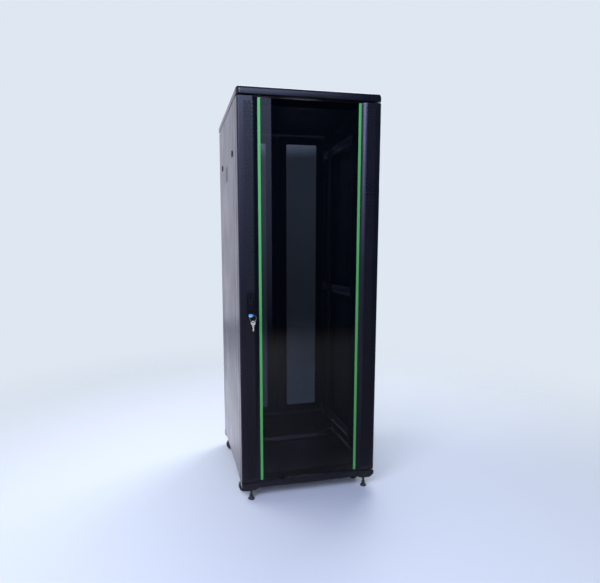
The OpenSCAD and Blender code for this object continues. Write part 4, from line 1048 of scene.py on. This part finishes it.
# %% Caster wheels
CASTER_X = 257.0
CASTER_Y = 216.0
TRAIL = 20.0
AXLE_Z = 26.5
outer_half = [(4.05, 10.0), (7.4, 10.0), (8.0, 9.6), (8.5, 7.1), (18.6, 7.0), (19.1, 9.6), (19.6, 10.0)]
tread = arc((22.0, 7.0), 3.0, 90.0, 0.0, 6)
wheel_half = outer_half + tread + [(25.0, 0.35), (24.75, 0.0)]
wheel_section = wheel_half + [(r, -h) for r, h in reversed(wheel_half[:-1])]
for end, side, corner in CORNERS:
    name = "caster_wheel_" + corner
    shell = bmesh.new()
    turned(shell, wheel_section, 72,
           lambda x, z, y: (side * CASTER_X - TRAIL + x, end * CASTER_Y + y, AXLE_Z + z))
    finished("turned_" + name, shell, "wheel_black", name, name)

# %% [markdown]
# ## Covers on the fan positions
# The roof has slots for four fans. Where no fan is fitted, a pressed steel cover is riveted under the
# slots, so the inside stays dark and clean. The cover is a shallow dish, turned from its section, with a
# rivet in the middle.

# %% Fan covers
ROOF_UNDER = 1686.2
FANS = [(x, y) for x in (-75.0, 75.0) for y in (-125.0, 25.0)]
RIVET = 3.4
RIVET_LEVELS = (-4.2, -1.6)
dish = [(2.0, -3.2), (40.0, -3.2), (46.0, -1.0), (57.0, -1.0), (57.5, -0.6), (57.5, 0.0), (46.0, 0.0),
        (40.2, -2.2), (2.0, -2.2)]
shell = bmesh.new()
for x, y in FANS:
    def at_fan(u, v, h):
        return (x + u, y + v, ROOF_UNDER + h)

    turned(shell, dish, 64, at_fan)
    prism(shell, arc((0.0, 0.0), RIVET, 0.0, 330.0, 11), *RIVET_LEVELS, at_fan)
finished("fan_position_covers", shell, "inner_paint", "frame")

# %% [markdown]
# ## Brushes in the floor
# Cables come up through the gap between the floor plates. Two brush strips close it: each has a thin folded
# holder on the plate's edge and rows of bristles that reach to the middle. One bristle is repeated along a
# line, each with its own small lean.

# %% Bristle tree
bristles, given = new_tree("bristles", ["Count", "Seed"], ["Spacing"])
spacing = put(bristles, "ShaderNodeCombineXYZ", {"X": given["Spacing"]})
line = put(bristles, "GeometryNodeMeshLine", {"Count": given["Count"], "Offset": spacing[0]})
lean = put(bristles, "FunctionNodeRandomValue", {
    0: (-0.09, -0.15, -0.07), 1: (0.03, 0.15, 0.07), "Seed": given["Seed"]}, data_type="FLOAT_VECTOR")
reach = put(bristles, "FunctionNodeRandomValue", {2: 0.92, 3: 1.0, "Seed": given["Seed"]}, data_type="FLOAT")
set_in = put(bristles, "GeometryNodeInstanceOnPoints", {
    "Points": line[0], "Instance": given["Start"], "Rotation": lean[0], "Scale": reach[1]})
end_tree(bristles, set_in[0], given)

# %% Brush strips
GAP_FRONT = 80.0
GAP_REAR = 160.0
FLOOR_HALF = 249.0
BRISTLES = 622
BRISTLE_STEP = 0.0008
BRISTLE_LONG = 37.0
BRISTLE_SAG = 2.0
BRISTLE_ROOT = 4.0
BRISTLE_Z = 76.0
LAYERS = 3
holder_fold = [
    (-9.0, 77.2), (-9.0, 78.2), (1.0, 78.2), (1.0, 79.6), (4.5, 79.6), (4.5, 74.4), (1.0, 74.4), (1.0, 77.2)]


def bristle(length, sag):
    """A thin three-sided bristle along y that droops towards its tip."""
    loops = []
    for along, thick in ((0.0, 0.30), (0.5, 0.26), (1.0, 0.12)):
        ring = arc((0.0, -sag * along * along), thick, 90.0, 330.0, 2)
        loops.append([(x, length * along, z) for x, z in ring])
    return as_mesh("bristle", capped(bmesh.new(), loops))


holders = bmesh.new()
hairs = bmesh.new()
for edge, facing, seed in ((GAP_FRONT, 1.0, 3), (GAP_REAR, -1.0, 11)):
    prism(holders, holder_fold, -FLOOR_HALF, FLOOR_HALF, lambda v, z, x: (x, edge + facing * v, z))
    for layer in range(LAYERS):
        row = grown(bristles, "wheel_black", {
            "Count": BRISTLES, "Spacing": BRISTLE_STEP, "Seed": seed + layer,
        }, bristle(BRISTLE_LONG, BRISTLE_SAG))
        if facing < 0:
            row.transform(Matrix.Rotation(math.pi, 4, "Z"))
        start = Vector((-facing * FLOOR_HALF, edge + facing * BRISTLE_ROOT, BRISTLE_Z + layer))
        row.transform(Matrix.Translation(start * MM))
        hairs.from_mesh(row)
finished("brush_holders", holders, "inner_paint", "frame")
finished("brush_bristles", hairs, "wheel_black", "frame")

# %% [markdown]
# ## Screws
# Small screws with a star recess hold the cover of the cable entry and the rear sill. One head is repeated
# on a grid.

# %% Screw tree
screws, given = new_tree("screws", ["Columns", "Rows"], ["Width", "Depth"])
places = put(screws, "GeometryNodeMeshGrid", {
    "Size X": given["Width"], "Size Y": given["Depth"], "Vertices X": given["Columns"],
    "Vertices Y": given["Rows"]})
driven = put(screws, "GeometryNodeInstanceOnPoints", {"Points": places[0], "Instance": given["Start"]})
end_tree(screws, driven[0], given)

# %% Screws
HEAD_RINGS = [(3.6, 0.0, 1.0), (3.6, 0.3, 1.0), (3.1, 0.7, 1.0), (2.0, 0.9, 1.0), (1.5, 0.9, 0.7),
              (1.4, 0.3, 0.7)]
ON_COVER = Matrix.Translation((0.0, 0.18, 1.689))
ON_SILL = Matrix.Translation((0.0, 0.3, 0.113)) @ Matrix.Rotation(-math.pi / 2, 4, "X")


def screw_head():
    """A domed head; in its recess every second corner is drawn in, which makes the star."""
    loops = []
    for radius, z, star in HEAD_RINGS:
        reaches = [(radius * (star if i % 2 else 1.0), math.radians(30.0 * i)) for i in range(12)]
        loops.append([(r * math.cos(a), r * math.sin(a), z) for r, a in reaches])
    return as_mesh("screw_head", capped(bmesh.new(), loops))


shell = bmesh.new()
for count_y, wide, deep, place in ((2, 0.312, 0.084, ON_COVER), (1, 0.540, 0.0, ON_SILL)):
    heads = grown(screws, "zinc_steel", {
        "Columns": 4, "Rows": count_y, "Width": wide, "Depth": deep}, screw_head())
    heads.transform(place)
    shell.from_mesh(heads)
finished("star_screws", shell, "zinc_steel", "frame")

# %% [markdown]
# ## Eased edges
# No folded or moulded edge is perfectly sharp. The solids that keep their CAD shape get a narrow bevel,
# which draws the thin light line along an edge. Their meshes come as loose triangles, so a Weld comes
# first.


# %% Eased edges
def eased(names, width_mm):
    for name in names:
        weld = solids[name].modifiers.new("weld", "WELD")
        weld.merge_threshold = WELD_GAP
        ease = solids[name].modifiers.new("eased_edges", "BEVEL")
        ease.width = width_mm * MM
        ease.segments = 2
        ease.limit_method = "ANGLE"
        ease.angle_limit = math.radians(40.0)
    print("eased:", len(names), "solids by", width_mm, "mm")


eased(["base_frame", "post_front_left", "post_front_right", "post_rear_left", "post_rear_right"], 0.7)
eased(["rear_sill", "door_rails", "roof_entry_cover"], 0.4)
eased(["front_lock_housing", "rear_lock_housing", "front_lock_lever", "rear_lock_lever", "trim_strips"], 0.6)
